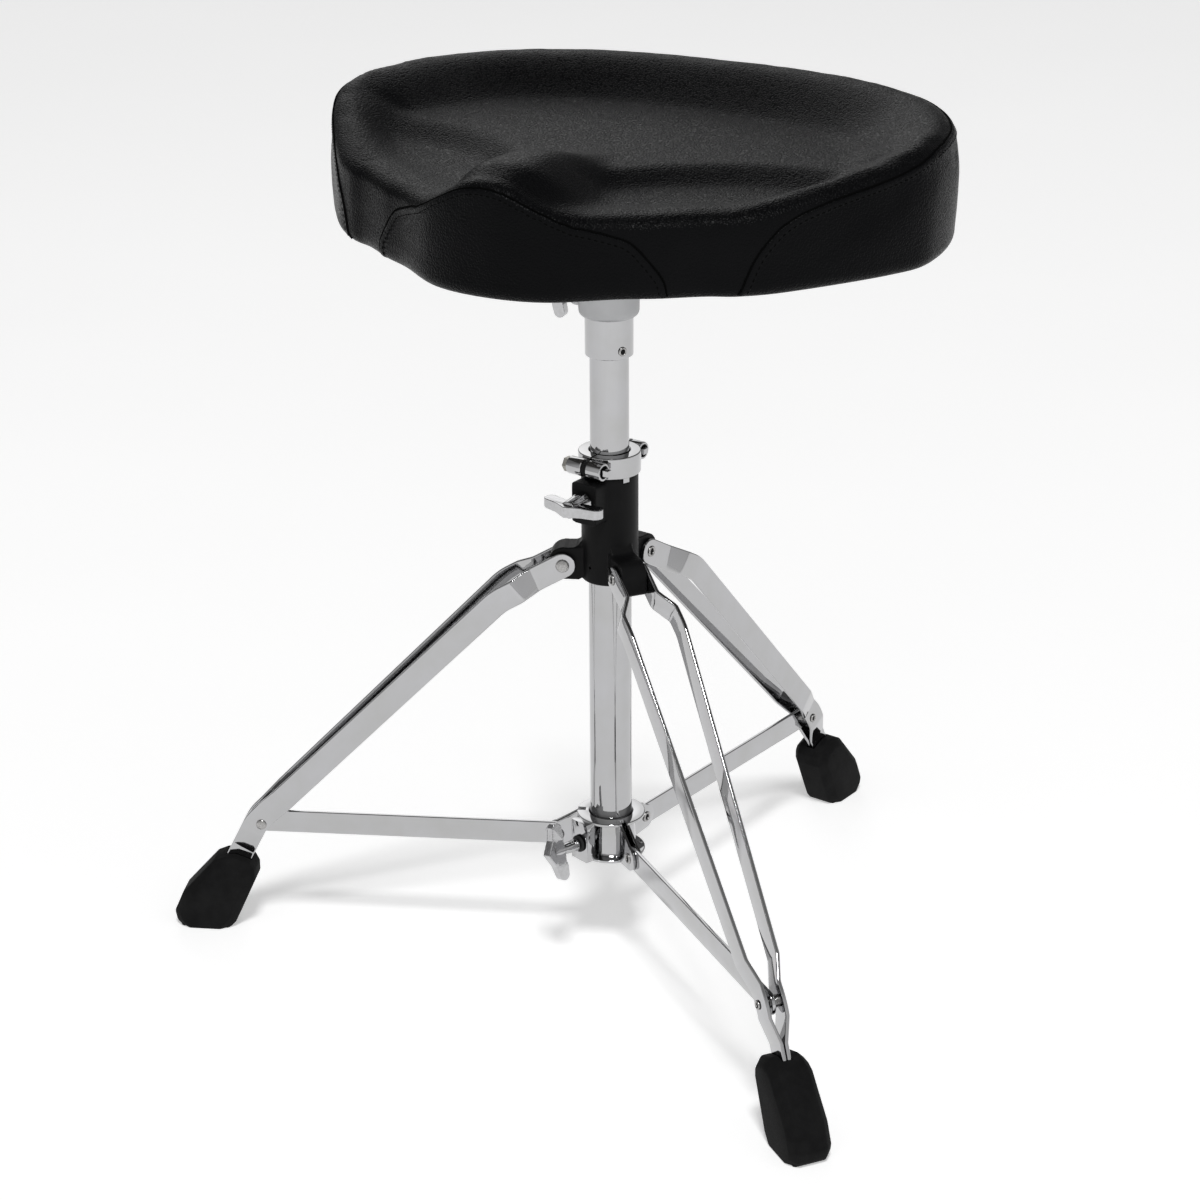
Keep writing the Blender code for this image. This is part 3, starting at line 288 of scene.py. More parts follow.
def prism(bm, outline, low, high, place):
    """Extrude a closed outline of (u, v) points between two heights; place turns (u, v, w) into a point."""
    bottom = [bm.verts.new(place(u, v, low)) for u, v in outline]
    top = [bm.verts.new(place(u, v, high)) for u, v in outline]
    bm.faces.new(bottom)
    bm.faces.new(list(reversed(top)))
    for i in range(len(outline)):
        j = (i + 1) % len(outline)
        bm.faces.new([bottom[i], top[i], top[j], bottom[j]])


def flat(matrix):
    """Places an outline drawn in plan, with its thickness along Z."""
    return lambda u, v, w: matrix @ Vector((u, v, w))


def upright(matrix=Matrix.Identity(4)):
    """Places an outline drawn in radius and height, with its thickness along the tangent."""
    return lambda u, v, w: matrix @ Vector((u, w, v))


def box(bm, low, high, matrix=Matrix.Identity(4)):
    corners = [(low[0], low[1]), (high[0], low[1]), (high[0], high[1]), (low[0], high[1])]
    prism(bm, corners, low[2], high[2], flat(matrix))


def skin(bm, rings, capped=True):
    """Faces from each closed ring of vertices to the next, and over both ends."""
    for one, two in zip(rings, rings[1:]):
        for i in range(len(one)):
            j = (i + 1) % len(one)
            bm.faces.new([one[i], one[j], two[j], two[i]])
    if capped:
        bm.faces.new(rings[0])
        bm.faces.new(list(reversed(rings[-1])))


def arc(centre, radius, start, end, steps):
    """Points on an arc, with the angles in degrees."""
    angles = [math.radians(start + (end - start) * i / steps) for i in range(steps + 1)]
    return [(centre[0] + radius * math.cos(a), centre[1] + radius * math.sin(a)) for a in angles]


def round_corners(outline, radius, steps=5):
    """A closed outline with each of its corners turned into an arc, as far as the sides allow."""
    rounded = []
    count = len(outline)
    for i, corner in enumerate(outline):
        here = Vector(corner)
        back = Vector(outline[i - 1]) - here
        ahead = Vector(outline[(i + 1) % count]) - here
        half = back.angle(ahead) / 2
        reach = min(radius / math.tan(half), 0.48 * back.length, 0.48 * ahead.length)
        bend = reach * math.tan(half)
        centre = here + (back.normalized() + ahead.normalized()).normalized() * (bend / math.sin(half))
        start = here + back.normalized() * reach - centre
        end = here + ahead.normalized() * reach - centre
        sweep = start.angle_signed(end)
        for k in range(steps + 1):
            point = centre + Matrix.Rotation(-sweep * k / steps, 2) @ start
            rounded.append((point.x, point.y))
    return rounded


def combine(obj, build, operation):
    """Join a second solid to an object or cut it away, with an exact Boolean."""
    bm = bmesh.new()
    build(bm)
    other = make(obj.name + "_tool", bm, None)
    change = obj.modifiers.new("shape", "BOOLEAN")
    change.operation = operation
    change.solver = "EXACT"
    change.object = other
    settle(obj)
    bpy.data.objects.remove(other)


def bevel(obj, width, segments=3, angle=30.0):
    rounding = obj.modifiers.new("edges", "BEVEL")
    rounding.width = width
    rounding.segments = segments
    rounding.limit_method = "ANGLE"
    rounding.angle_limit = math.radians(angle)
    rounding.harden_normals = False
    settle(obj, 50.0)


def melt(obj, voxel, passes, factor=0.5):
    """Fuse overlapping solids into one cast shape with soft inner corners."""
    remesh = obj.modifiers.new("fuse", "REMESH")
    remesh.mode = "VOXEL"
    remesh.voxel_size = voxel
    soften = obj.modifiers.new("soften", "SMOOTH")
    soften.iterations = passes
    soften.factor = factor
    settle(obj, 180.0)


def dress(obj, body, slot, *nodes):
    """Put a piece on its body and hide the CAD nodes it stands for."""
    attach(obj, body)
    if nodes:
        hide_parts(*nodes)
    return obj


# ---------------------------------------------------------------- facts from the frame
class Facts:
    """Where the post, the legs and the seat stand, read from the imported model."""

    def __init__(self, frame):
        low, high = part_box("outer_tube")
        self.axis = Vector(((low.x + high.x) / 2, (low.y + high.y) / 2, 0))
        self.joints = {joint["name"]: joint for joint in frame["joints"]}
        self.legs = {}
        for leg in "abc":
            x, y, _ = self.joints[f"leg_{leg}_fold"]["axis"]
            self.legs[leg] = math.degrees(math.atan2(-x, y))
        x, y, _ = self.joints["seat_bolt_turn"]["axis"]
        self.seat_turn = math.degrees(math.atan2(-y, -x))

    def about_post(self, azimuth=0.0, height=0.0):
        """A matrix from a frame on the post's axis, turned to an azimuth, to the model's frame."""
        return (Matrix.Translation(self.axis + Vector((0, 0, height)))
                @ Matrix.Rotation(math.radians(azimuth), 4, "Z"))


# ---------------------------------------------------------------- materials
class Nodes:
    """Short ways to add and join shader nodes."""

    def __init__(self, name):
        self.material = bpy.data.materials.new(name)
        self.material.use_nodes = True
        self.tree = self.material.node_tree
        self.shader = self.tree.nodes["Principled BSDF"]
        self.place = self.tree.nodes.new("ShaderNodeTexCoord").outputs["Object"]

    def add(self, kind, values=None, **settings):
        node = self.tree.nodes.new(kind)
        for key, value in settings.items():
            setattr(node, key, value)
        for key, value in (values or {}).items():
            node.inputs[key].default_value = value
        return node

    def join(self, source, target):
        self.tree.links.new(source, target)

    def set(self, **values):
        for key, value in values.items():
            self.shader.inputs[key.replace("_", " ")].default_value = value

    def noise(self, scale, detail=3.0, roughness=0.55, stretch=None):
        node = self.add("ShaderNodeTexNoise", {"Scale": scale, "Detail": detail, "Roughness": roughness})
        self.join(self.spread(stretch), node.inputs["Vector"])
        return node.outputs["Fac"]

    def spread(self, stretch):
        """The place on the piece, stretched along the axes."""
        if stretch is None:
            return self.place
        mapping = self.add("ShaderNodeMapping", {"Scale": stretch})
        self.join(self.place, mapping.inputs["Vector"])
        return mapping.outputs["Vector"]

    def between(self, value, low, high, source=(0.0, 1.0)):
        """A value mapped onto the range low to high."""
        node = self.add("ShaderNodeMapRange", {"From Min": source[0], "From Max": source[1],
                                               "To Min": low, "To Max": high})
        self.join(value, node.inputs["Value"])
        return node.outputs["Result"]

    def colors(self, value, dark, light, low=0.3, high=0.7):
        ramp = self.add("ShaderNodeValToRGB")
        ramp.color_ramp.elements[0].position = low
        ramp.color_ramp.elements[0].color = (*dark, 1)
        ramp.color_ramp.elements[1].position = high
        ramp.color_ramp.elements[1].color = (*light, 1)
        self.join(value, ramp.inputs["Fac"])
        self.join(ramp.outputs["Color"], self.shader.inputs["Base Color"])

    def rough(self, value, low, high, source=(0.3, 0.7)):
        self.join(self.between(value, low, high, source), self.shader.inputs["Roughness"])

    def bump(self, height, distance, strength=1.0, under=None):
        node = self.add("ShaderNodeBump", {"Strength": strength, "Distance": distance})
        self.join(height, node.inputs["Height"])
        if under is not None:
            self.join(under, node.inputs["Normal"])
        self.join(node.outputs["Normal"], self.shader.inputs["Normal"])
        return node.outputs["Normal"]


def chrome(name="chrome", light=0.47, low=0.03, high=0.07):
    nodes = Nodes(name)
    nodes.set(Metallic=1.0)
    smudge = nodes.noise(38.0, 4.0)
    nodes.colors(smudge, (light - 0.03,) * 3, (light, light, light + 0.012))
    nodes.rough(smudge, low, high)
    nodes.bump(nodes.noise(160.0, 2.0), 0.00002, 0.12)
    return nodes.material


def brushed_rivet():
    nodes = Nodes("rivet")
    nodes.set(Metallic=1.0)
    grain = nodes.noise(900.0, 3.0)
    nodes.colors(grain, (0.30, 0.295, 0.29), (0.46, 0.455, 0.45))
    nodes.rough(grain, 0.22, 0.34)
    nodes.bump(grain, 0.00004, 0.3)
    return nodes.material


# Near-black painted shade for the insides of rivet hollows, the lock's recesses and the gap between its
# front barrels.
def dark_recess():
    nodes = Nodes("dark_recess")
    nodes.set(Specular_IOR_Level=0.05)
    grain = nodes.noise(700.0)
    nodes.colors(grain, (0.006, 0.006, 0.006), (0.014, 0.014, 0.014))
    nodes.rough(grain, 0.4, 0.6)
    return nodes.material


def cast_chrome():
    nodes = Nodes("cast_chrome")
    nodes.set(Metallic=1.0)
    waves = nodes.noise(420.0, 2.0)
    nodes.colors(waves, (0.44, 0.44, 0.445), (0.50, 0.50, 0.51))
    nodes.rough(nodes.noise(90.0), 0.05, 0.12)
    nodes.bump(waves, 0.00012, 0.25)
    return nodes.material


def zinc():
    nodes = Nodes("zinc")
    nodes.set(Metallic=1.0)
    cloud = nodes.noise(260.0, 5.0)
    nodes.colors(cloud, (0.30, 0.29, 0.26), (0.48, 0.47, 0.44))
    nodes.rough(cloud, 0.28, 0.45)
    return nodes.material


def powder_coat():
    """Satin black powder coat with its fine orange-peel grain."""
    nodes = Nodes("powder_coat")
    nodes.set(Specular_IOR_Level=0.09)
    peel = nodes.noise(1300.0, 2.0)
    cloud = nodes.noise(45.0, 3.0)
    nodes.colors(cloud, (0.0035, 0.0035, 0.0037), (0.0055, 0.0055, 0.0058))
    nodes.rough(peel, 0.36, 0.50)
    nodes.bump(peel, 0.00006, 0.35)
    return nodes.material


def moulded_nylon():
    nodes = Nodes("moulded_nylon")
    nodes.set(Specular_IOR_Level=0.15)
    grain = nodes.noise(1500.0, 2.0)
    nodes.colors(grain, (0.012, 0.012, 0.012), (0.022, 0.022, 0.022))
    nodes.rough(grain, 0.45, 0.6)
    nodes.bump(grain, 0.00005, 0.3)
    return nodes.material


def foot_rubber():
    nodes = Nodes("foot_rubber")
    nodes.set(Specular_IOR_Level=0.08)
    dust = nodes.noise(70.0, 6.0, 0.65)
    grain = nodes.noise(1900.0, 3.0)
    nodes.colors(dust, (0.0050, 0.0050, 0.0052), (0.0105, 0.0105, 0.0108), 0.35, 0.75)
    nodes.rough(grain, 0.62, 0.85)
    nodes.bump(grain, 0.00012, 0.5)
    return nodes.material


def satin_casting():
    """Blasted and clear-coated aluminium, light grey."""
    nodes = Nodes("satin_casting")
    nodes.set(Metallic=0.55)
    grain = nodes.noise(1600.0, 2.0)
    cloud = nodes.noise(30.0)
    nodes.colors(cloud, (0.36, 0.363, 0.37), (0.42, 0.423, 0.43))
    nodes.rough(grain, 0.38, 0.52)
    nodes.bump(grain, 0.00005, 0.3)
    return nodes.material


def plywood():
    """Plywood under a thin black stain, its plies still showing."""
    nodes = Nodes("plywood")
    fibre = nodes.noise(60.0, 6.0, 0.6, (1.0, 9.0, 9.0))
    plies = nodes.add("ShaderNodeTexWave", {"Scale": 95.0, "Distortion": 1.2, "Detail": 2.0},
                      bands_direction="Z")
    nodes.join(nodes.place, plies.inputs["Vector"])
    mix = nodes.add("ShaderNodeMath", {2: 0.0}, operation="MULTIPLY_ADD")
    nodes.join(plies.outputs["Fac"], mix.inputs[0])
    mix.inputs[1].default_value = 0.35
    nodes.join(fibre, mix.inputs[2])
    nodes.colors(mix.outputs["Value"], (0.012, 0.011, 0.010), (0.030, 0.027, 0.024), 0.3, 0.95)
    nodes.rough(fibre, 0.55, 0.8)
    nodes.bump(fibre, 0.0002, 0.3)
    return nodes.material


def vinyl(name="vinyl", low=(0.0024, 0.0025, 0.0028), high=(0.0042, 0.0043, 0.0047), grain=1.0):
    """Black upholstery vinyl: pebbles about a millimetre wide, with finer wrinkles across them."""
    nodes = Nodes(name)
    nodes.set(Specular_IOR_Level=0.040)
    warp = nodes.add("ShaderNodeTexNoise", {"Scale": 420.0, "Detail": 2.0})
    nodes.join(nodes.place, warp.inputs["Vector"])
    shift = nodes.add("ShaderNodeVectorMath", operation="MULTIPLY_ADD")
    nodes.join(warp.outputs["Color"], shift.inputs[0])
    shift.inputs[1].default_value = (0.0009, 0.0009, 0.0009)
    nodes.join(nodes.place, shift.inputs[2])
    pebbles = nodes.add("ShaderNodeTexVoronoi", {"Scale": 700.0, "Smoothness": 0.45}, feature="SMOOTH_F1")
    nodes.join(shift.outputs["Vector"], pebbles.inputs["Vector"])
    rounded = nodes.between(pebbles.outputs["Distance"], 1.0, 0.0, (0.05, 0.75))
    first = nodes.bump(rounded, 0.00045, 0.8 * grain)
    fine = nodes.noise(2600.0, 4.0, 0.6)
    nodes.bump(fine, 0.00008, 0.35 * grain, first)
    tone = nodes.noise(9.0, 4.0)
    nodes.colors(tone, low, high)
    nodes.rough(rounded, 0.27, 0.42, (0.2, 0.9))
    return nodes.material


def seam_shadow():
    nodes = Nodes("seam_shadow")
    nodes.set(Specular_IOR_Level=0.02)
    fine = nodes.noise(1500.0)
    nodes.colors(fine, (0.0012, 0.0012, 0.0012), (0.0028, 0.0028, 0.0028))
    nodes.rough(fine, 0.8, 0.95)
    return nodes.material


def thread():
    nodes = Nodes("thread")
    nodes.set(Specular_IOR_Level=0.03)
    twist = nodes.add("ShaderNodeTexWave", {"Scale": 700.0, "Distortion": 0.5}, bands_direction="DIAGONAL")
    nodes.join(nodes.place, twist.inputs["Vector"])
    nodes.colors(twist.outputs["Fac"], (0.0008, 0.0008, 0.0008), (0.0030, 0.0030, 0.0030))
    nodes.rough(twist.outputs["Fac"], 0.7, 0.85)
    return nodes.material


# ---------------------------------------------------------------- fasteners
def rivet_profile(shank, grip):
    """Semi-tubular rivet: a rolled hollow end below and a low dome above, both finely rounded."""
    half = grip / 2
    head = shank * RIVET_HEAD
    roll = shank * RIVET_ROLL
    hollow = shank * RIVET_HOLLOW
    tube_r = (roll - hollow) / 2
    rolled = arc(((roll + hollow) / 2, -half - shank * 0.02), tube_r, 180, 360, 12)
    dome = [(head * math.cos(a), half + 0.0004 + shank * 0.66 * math.sin(a))
            for a in (math.radians(90 * i / 12) for i in range(13))]
    dome[-1] = (0, dome[-1][1])
    return ([(0, -half + shank * 1.4), (hollow, -half + shank * 1.4)] + rolled
            + [(shank, -half), (shank, half), (head, half)] + dome)


def rivet(node, body, m, matrix, axis, shank, grip):
    """A rivet in place of its CAD node, with painted shade in its hollow end."""
    bm = bmesh.new()
    lathe(bm, rivet_profile(shank, grip), SMALL_ROUND, matrix @ along(axis))
    dress(make(node + "_piece", bm, m["rivet"]), body, "rivet", node)
    # a near-black disc paints the shade inside the hollow end
    hollow_shade_disc(node + "_hollow", body, m["dark"], matrix, axis, shank, grip / 2)


def hollow_shade_disc(name, body, dark, matrix, axis, shank, half):
    """A near-black disc in a rivet's hollow end that paints the shade inside it."""
    bm = bmesh.new()
    radius = shank * RIVET_HOLLOW - 0.00004
    top = -half - shank * 0.12
    lathe(bm, [(0, top + 0.0002), (radius * 0.5, top + 0.0001), (radius, top), (radius, top + 0.0012),
               (0, top + 0.0012)], SMALL_ROUND, matrix @ along(axis))
    dress(make(name, bm, dark), body, "rivet")


def wing_outline(start, end, span):
    """The wing seen along its thin side, in (along the axis, across): a shallow V and two rounded lobes."""
    tip = span * 0.20
    lobe = arc((end - 0.0030 - tip, span - tip), tip, 10, 185, 12)
    upper = ([(end - 0.0010, span * 0.46)] + lobe
             + [(start + 0.0006, span * 0.55), (start + 0.0018, span * 0.34)])
    lower = [(u, -v) for u, v in reversed(upper)]
    return upper + [(start + 0.0010, 0.0)] + lower + [(end + 0.0045, 0.0)]


def wing_bolt(node, body, metal, matrix, shank_r, shank_end, neck, neck_r, wing, span, thick):
    """A cast wing bolt along +X: plain shank, ribbed neck, then two lobes across Z that thin outwards.

    neck and wing are (start, end) along X; span is the wing's half length and thick its half thickness.
    """
    bm = bmesh.new()
    turn = along((1, 0, 0))
    outline = wing_outline(*wing, span)

    def place(u, v, w):
        taper = 1.0 - 0.16 * min(abs(v) / span, 1.0) ** 1.3
        return Vector((u, w * taper, v))

    prism(bm, outline, -thick, thick, place)
    lathe(bm, [(0, neck[0]), (neck_r, neck[0]), (neck_r * 1.06, neck[0] + 0.001), (neck_r * 0.92, neck[1]),
               (neck_r * 0.80, wing[1] - 0.001), (0, wing[1])], ROUND, turn)
    ribs = 8
    for i in range(ribs):
        angle = math.tau * (i + 0.5) / ribs
        side = Vector((0, math.cos(angle), math.sin(angle))) * neck_r * 0.98
        start = Vector((neck[0] + 0.001, 0, 0)) + side
        end = Vector((neck[1] - 0.001, 0, 0)) + side * 0.82
        rod(bm, neck_r * 0.17, start, end, 10)
    for vert in bm.verts:
        vert.co = matrix @ vert.co
    bolt = make(node + "_piece", bm, metal)
    melt(bolt, 0.00042, 5)
    shank = bmesh.new()
    lathe(shank, [(0, shank_end), (shank_r * 0.85, shank_end), (shank_r, shank_end + shank_r * 0.2),
                  (shank_r, neck[0] + 0.002), (0, neck[0] + 0.002)], ROUND, matrix @ turn)
    shank_piece = make(node + "_piece_shank", shank, metal)
    dress(bolt, body, "wing_bolt", node)
    dress(shank_piece, body, "wing_bolt")


# ---------------------------------------------------------------- column
def tube(name, body, metal, facts, bore, radius, edge, node):
    """A tube with slightly rounded ends, as long as its CAD node."""
    low, high = (corner.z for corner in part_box(node))
    bm = bmesh.new()
    outer = (arc((radius - edge, low + edge), edge, -90, 0, 5)
             + arc((radius - edge, high - edge), edge, 0, 90, 5))
    lathe(bm, [(bore, low)] + outer + [(bore, high)], TUBE_SIDES, facts.about_post())
    return dress(make(name, bm, metal), body, "chrome", node)


def sleeve_rivet(facts, m):
    """The rivet through the sleeve: its rolled, hollow end shows at the front."""
    matrix = facts.about_post(SLEEVE_RIVET_AZIMUTH + 180, SLEEVE_RIVET_Z)
    rivet("sleeve_rivet", "post", m, matrix, (1, 0, 0), SMALL_RIVET_R, 2 * (SLEEVE_R + GAP))


# ---------------------------------------------------------------- hub
def lug_outline():
    """The hub's lug for a leg, in radius and height, round over the pivot."""
    pivot_r, pivot_z = LEG_PIVOT
    top = arc((pivot_r - 0.001, pivot_z + 0.001), 0.0122, 100, 0, 14)
    bottom = [(pivot_r + 0.0112, pivot_z - 0.0100), (pivot_r + 0.0092, pivot_z - 0.0118),
              (0.022, pivot_z - 0.0118)]
    return [(0.0175, pivot_z - 0.009), (0.0175, pivot_z + 0.0140)] + top + bottom


def hub(facts, paint):
    """The cast hub: a round body, a boss for the height bolt and a lug for each leg."""
    low, high = (corner.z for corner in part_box("hub"))
    bm = bmesh.new()
    outer = (arc((HUB_R - 0.0012, low + 0.0012), 0.0012, -90, 0, 4)
             + arc((HUB_R - 0.0008, high - 0.0008), 0.0008, 0, 90, 4))
    lathe(bm, [(HUB_BORE, low)] + outer + [(HUB_BORE, high)], TUBE_SIDES, facts.about_post())
    side = BOSS_HALF_WIDTH
    bottom = HEIGHT_BOLT_Z - 0.0170
    top = high - 0.0012
    face = round_corners([(-side, top), (-side, bottom), (side, bottom), (side, top)], 0.0030)
    spot = facts.about_post()
    prism(bm, face, -BOSS_REACH, -0.0175, upright(spot))
    for azimuth in facts.legs.values():
        spoke = facts.about_post(azimuth)
        prism(bm, lug_outline(), -LUG_HALF_WIDTH, LUG_HALF_WIDTH, upright(spoke))
        web = [(r, LEG_PIVOT[1] + rise) for r, rise in LUG_WEB]
        prism(bm, web, -LUG_HALF_WIDTH * 0.9, LUG_HALF_WIDTH * 0.9, upright(spoke))
    body = make("hub_casting", bm, paint)
    melt(body, 0.00065, 6)

    def cuts(tool):
        slot_at = facts.about_post(KEY_AZIMUTH)
        box(tool, (0.012, -0.0029, high - 0.0043), (0.03, 0.0029, high + 0.01), slot_at)

    combine(body, cuts, "DIFFERENCE")

    def holes(tool):
        side_spot = facts.about_post(HUB_PIN_AZIMUTH)
        rod(tool, HUB_PIN_R, (0.0185, 0, HUB_PIN_Z), (0.03, 0, HUB_PIN_Z), 20, side_spot)
        rod(tool, HEIGHT_HOLE_R, (0, -0.02, HEIGHT_BOLT_Z), (0, -0.05, HEIGHT_BOLT_Z), 32, spot)

    combine(body, holes, "DIFFERENCE")
    shade(body.data, 60.0)
    return dress(body, "stand", "black_casting", "hub")


# ---------------------------------------------------------------- memory lock
def lock_half(facts, metal, name, side):
    """One half ring, on the +X side for side = 1, with its two screw barrels; the right half has the key."""
    low, high = (corner.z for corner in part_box("memory_lock_left"))
    bm = bmesh.new()
    bore = POST_R + GAP
    edge = 0.0009
    outline = ([(bore, low)] + arc((LOCK_R - edge, low + edge), edge, -90, 0, 5)
               + arc((LOCK_R - edge, high - edge), edge, 0, 90, 5)
               + [(bore + 0.0006, high), (bore, high - 0.0006)])
    rings = []
    steps = 64
    spot = facts.about_post()
    for i in range(steps + 1):
        angle = math.radians(-90 + 180 * i / steps)
        direction = Vector((side * math.cos(angle), math.sin(angle), 0))
        shift = Vector((side * LOCK_SPLIT / 2, 0, 0))
        rings.append([bm.verts.new(spot @ (direction * r + shift + Vector((0, 0, z)))) for r, z in outline])
    skin(bm, rings)
    ring = make(name, bm, metal)

    def barrels(tool):
        for end in (-1, 1):
            reach = LOCK_REACH[end]
            near = LOCK_SPLIT / 2 + (0.0017 if end < 0 else 0.0)
            r = LOCK_LUG_R
            profile = [(0, near), (r - 0.0006, near), (r, near + 0.0006), (r, reach - 0.0007),
                       (r - 0.0002, reach - 0.0002), (r - 0.0007, reach), (0, reach)]
            place = (0, end * LOCK_SCREW_Y, LOCK_SCREW_Z)
            lathe(tool, profile, ROUND, spot @ along((side, 0, 0), place))

    combine(ring, barrels, "UNION")

    def recesses(tool):
        for end in (-1, 1):
            reach = LOCK_REACH[end]
            place = (0, end * LOCK_SCREW_Y, LOCK_SCREW_Z)
            floor_x, mouth_x = reach - LOCK_RECESS_DEPTH, reach + 0.003
            profile = [(0, floor_x), (LOCK_RECESS_R, floor_x), (LOCK_RECESS_R, mouth_x), (0, mouth_x)]
            lathe(tool, profile, ROUND, spot @ along((side, 0, 0), place))

    if side > 0:
        combine(ring, recesses, "DIFFERENCE")

        def key(tool):
            place = facts.about_post(KEY_AZIMUTH)
            box(tool, (0.0168, -0.0026, low - 0.0040), (0.0208, 0.0026, low + 0.0030), place)

        combine(ring, key, "UNION")
    shade(ring.data, 40.0)
    return ring


def lock_parts(facts, metal, dark):
    """Both half rings, the screws, near-black painted shade in the barrels' recesses and a near-black disc
    of painted shade in the gap between the front barrels.
    """
    left = lock_half(facts, metal, "memory_lock_left_half", -1)
    dress(left, "memory_lock", "chrome", "memory_lock_left")
    right = lock_half(facts, metal, "memory_lock_right_half", 1)
    dress(right, "memory_lock", "chrome", "memory_lock_right")
    spot = facts.about_post()
    for end, label in ((-1, "key"), (1, "rear")):
        reach = LOCK_REACH[end]
        place = (0, end * LOCK_SCREW_Y, LOCK_SCREW_Z)
        bm = bmesh.new()
        shank = LOCK_SCREW_R
        lathe(bm, [(0, -reach - 0.004), (shank, -reach - 0.004),
                   (shank, reach - 0.0022), (0, reach - 0.0022)],
              SMALL_ROUND, spot @ along((1, 0, 0), place))
        half = 0.0026 if end < 0 else 0.0024
        stub = round_corners([(-half, -half), (half, -half), (half, half), (-half, half)], 0.0006, 3)
        tip = 0.0048 if end < 0 else 0.0022
        ends = ((reach - LOCK_RECESS_DEPTH, 1.0), (reach + tip - 0.0006, 1.0), (reach + tip, 0.82))
        rings = [[bm.verts.new(spot @ Vector((x, place[1] + u * s, place[2] + v * s))) for u, v in stub]
                 for x, s in ends]
        skin(bm, rings)
        screw = make(f"memory_lock_{label}_screw_piece", bm, metal)
        dress(screw, "memory_lock", "chrome", f"memory_lock_{label}_screw")
        # a near-black lining in the barrel's recess: painted shade
        recess_shade_mesh = bmesh.new()
        lathe(recess_shade_mesh, [(0, reach - 0.00255), (0.00497, reach - 0.00255), (0.00497, reach - 0.0004),
                      (0.0043, reach - 0.0006), (0.0042, reach - 0.0020), (0, reach - 0.0020)], 12,
              spot @ along((1, 0, 0), place))
        dress(make(f"memory_lock_{label}_recess", recess_shade_mesh, dark), "memory_lock", "chrome")
    # a near-black disc in the gap between the front barrels: painted shade
    bm = bmesh.new()
    front = (0, -LOCK_SCREW_Y, LOCK_SCREW_Z)
    r = LOCK_LUG_R - 0.0013
    lathe(bm, [(0, -0.0021), (r, -0.0021), (r + 0.0004, -0.0012),
               (r + 0.0004, 0.0012), (r, 0.0021), (0, 0.0021)],
          ROUND, spot @ along((1, 0, 0), front))
    dress(make("memory_lock_gap_shadow", bm, dark), "memory_lock", "chrome")


# ---------------------------------------------------------------- legs
def fillet(points, radii, steps):
    """A path of straight runs with round corners; radii has one radius for each inner corner."""
    path = [Vector(points[0])]
    for previous, corner, following, radius in zip(points, points[1:], points[2:], radii):
        corner = Vector(corner)
        back = (Vector(previous) - corner).normalized()
        ahead = (Vector(following) - corner).normalized()
        half = back.angle(ahead) / 2
        start = corner + back * (radius / math.tan(half))
        centre = corner + (back + ahead).normalized() * (radius / math.sin(half))
        spoke = start - centre
        sweep = spoke.angle_signed(corner + ahead * (radius / math.tan(half)) - centre)
        for i in range(steps + 1):
            path.append(centre + Matrix.Rotation(-sweep * i / steps, 2) @ spoke)
    path.append(Vector(points[-1]))
    return path


class SidePath:
    """The strap's centre line in side view, measured by distance from the leg's pivot."""

    def __init__(self):
        self.points = fillet([LEG_PIVOT, KNEE, ANKLE, TOE], [KNEE_BEND_R, ANKLE_BEND_R], 14)
        self.distances = [0.0]
        for one, two in zip(self.points, self.points[1:]):
            self.distances.append(self.distances[-1] + (two - one).length)
        self.length = self.distances[-1]

    def normal(self, index):
        before = self.points[max(index - 1, 0)]
        after = self.points[min(index + 1, len(self.points) - 1)]
        run = (after - before).normalized()
        return Vector((-run.y, run.x))

    def at(self, distance):
        """Point and upward normal at a distance, straight on before the start."""
        if distance <= 0:
            run = (self.points[1] - self.points[0]).normalized()
            return self.points[0] + run * distance, Vector((-run.y, run.x))
        last = len(self.points) - 2
        for i in range(last + 1):
            if distance <= self.distances[i + 1] or i == last:
                share = (distance - self.distances[i]) / (self.distances[i + 1] - self.distances[i])
                point = self.points[i].lerp(self.points[i + 1], share)
                return point, self.normal(i).lerp(self.normal(i + 1), share).normalized()


def spread_path(length):
    """The strap's mid-plane in plan: (distance along, distance from the centre plane)."""
    corners = ([(-STRAP_WIDTH, STRAP_SPREAD[0][1])] + list(STRAP_SPREAD)
               + [(length + STRAP_WIDTH, STRAP_SPREAD[-1][1])])
    return fillet(corners, [0.008] * len(STRAP_SPREAD), 8)


def spread_at(path, distance):
    for one, two in zip(path, path[1:]):
        if distance <= two.x:
            run = (two - one).normalized()
            share = (distance - one.x) / (two.x - one.x)
            return one.lerp(two, share).y, Vector((-run.y, run.x))
    return path[-1].y, Vector((0, 1))


def strap_section(half):
    """A rounded strap section as (across, up) points."""
    thick = STRAP_THICKNESS / 2
    edge = min(STRAP_EDGE, half * 0.9)
    corners = [(-thick, -half), (thick, -half), (thick, half), (-thick, half)]
    return round_corners(corners, edge, 5)


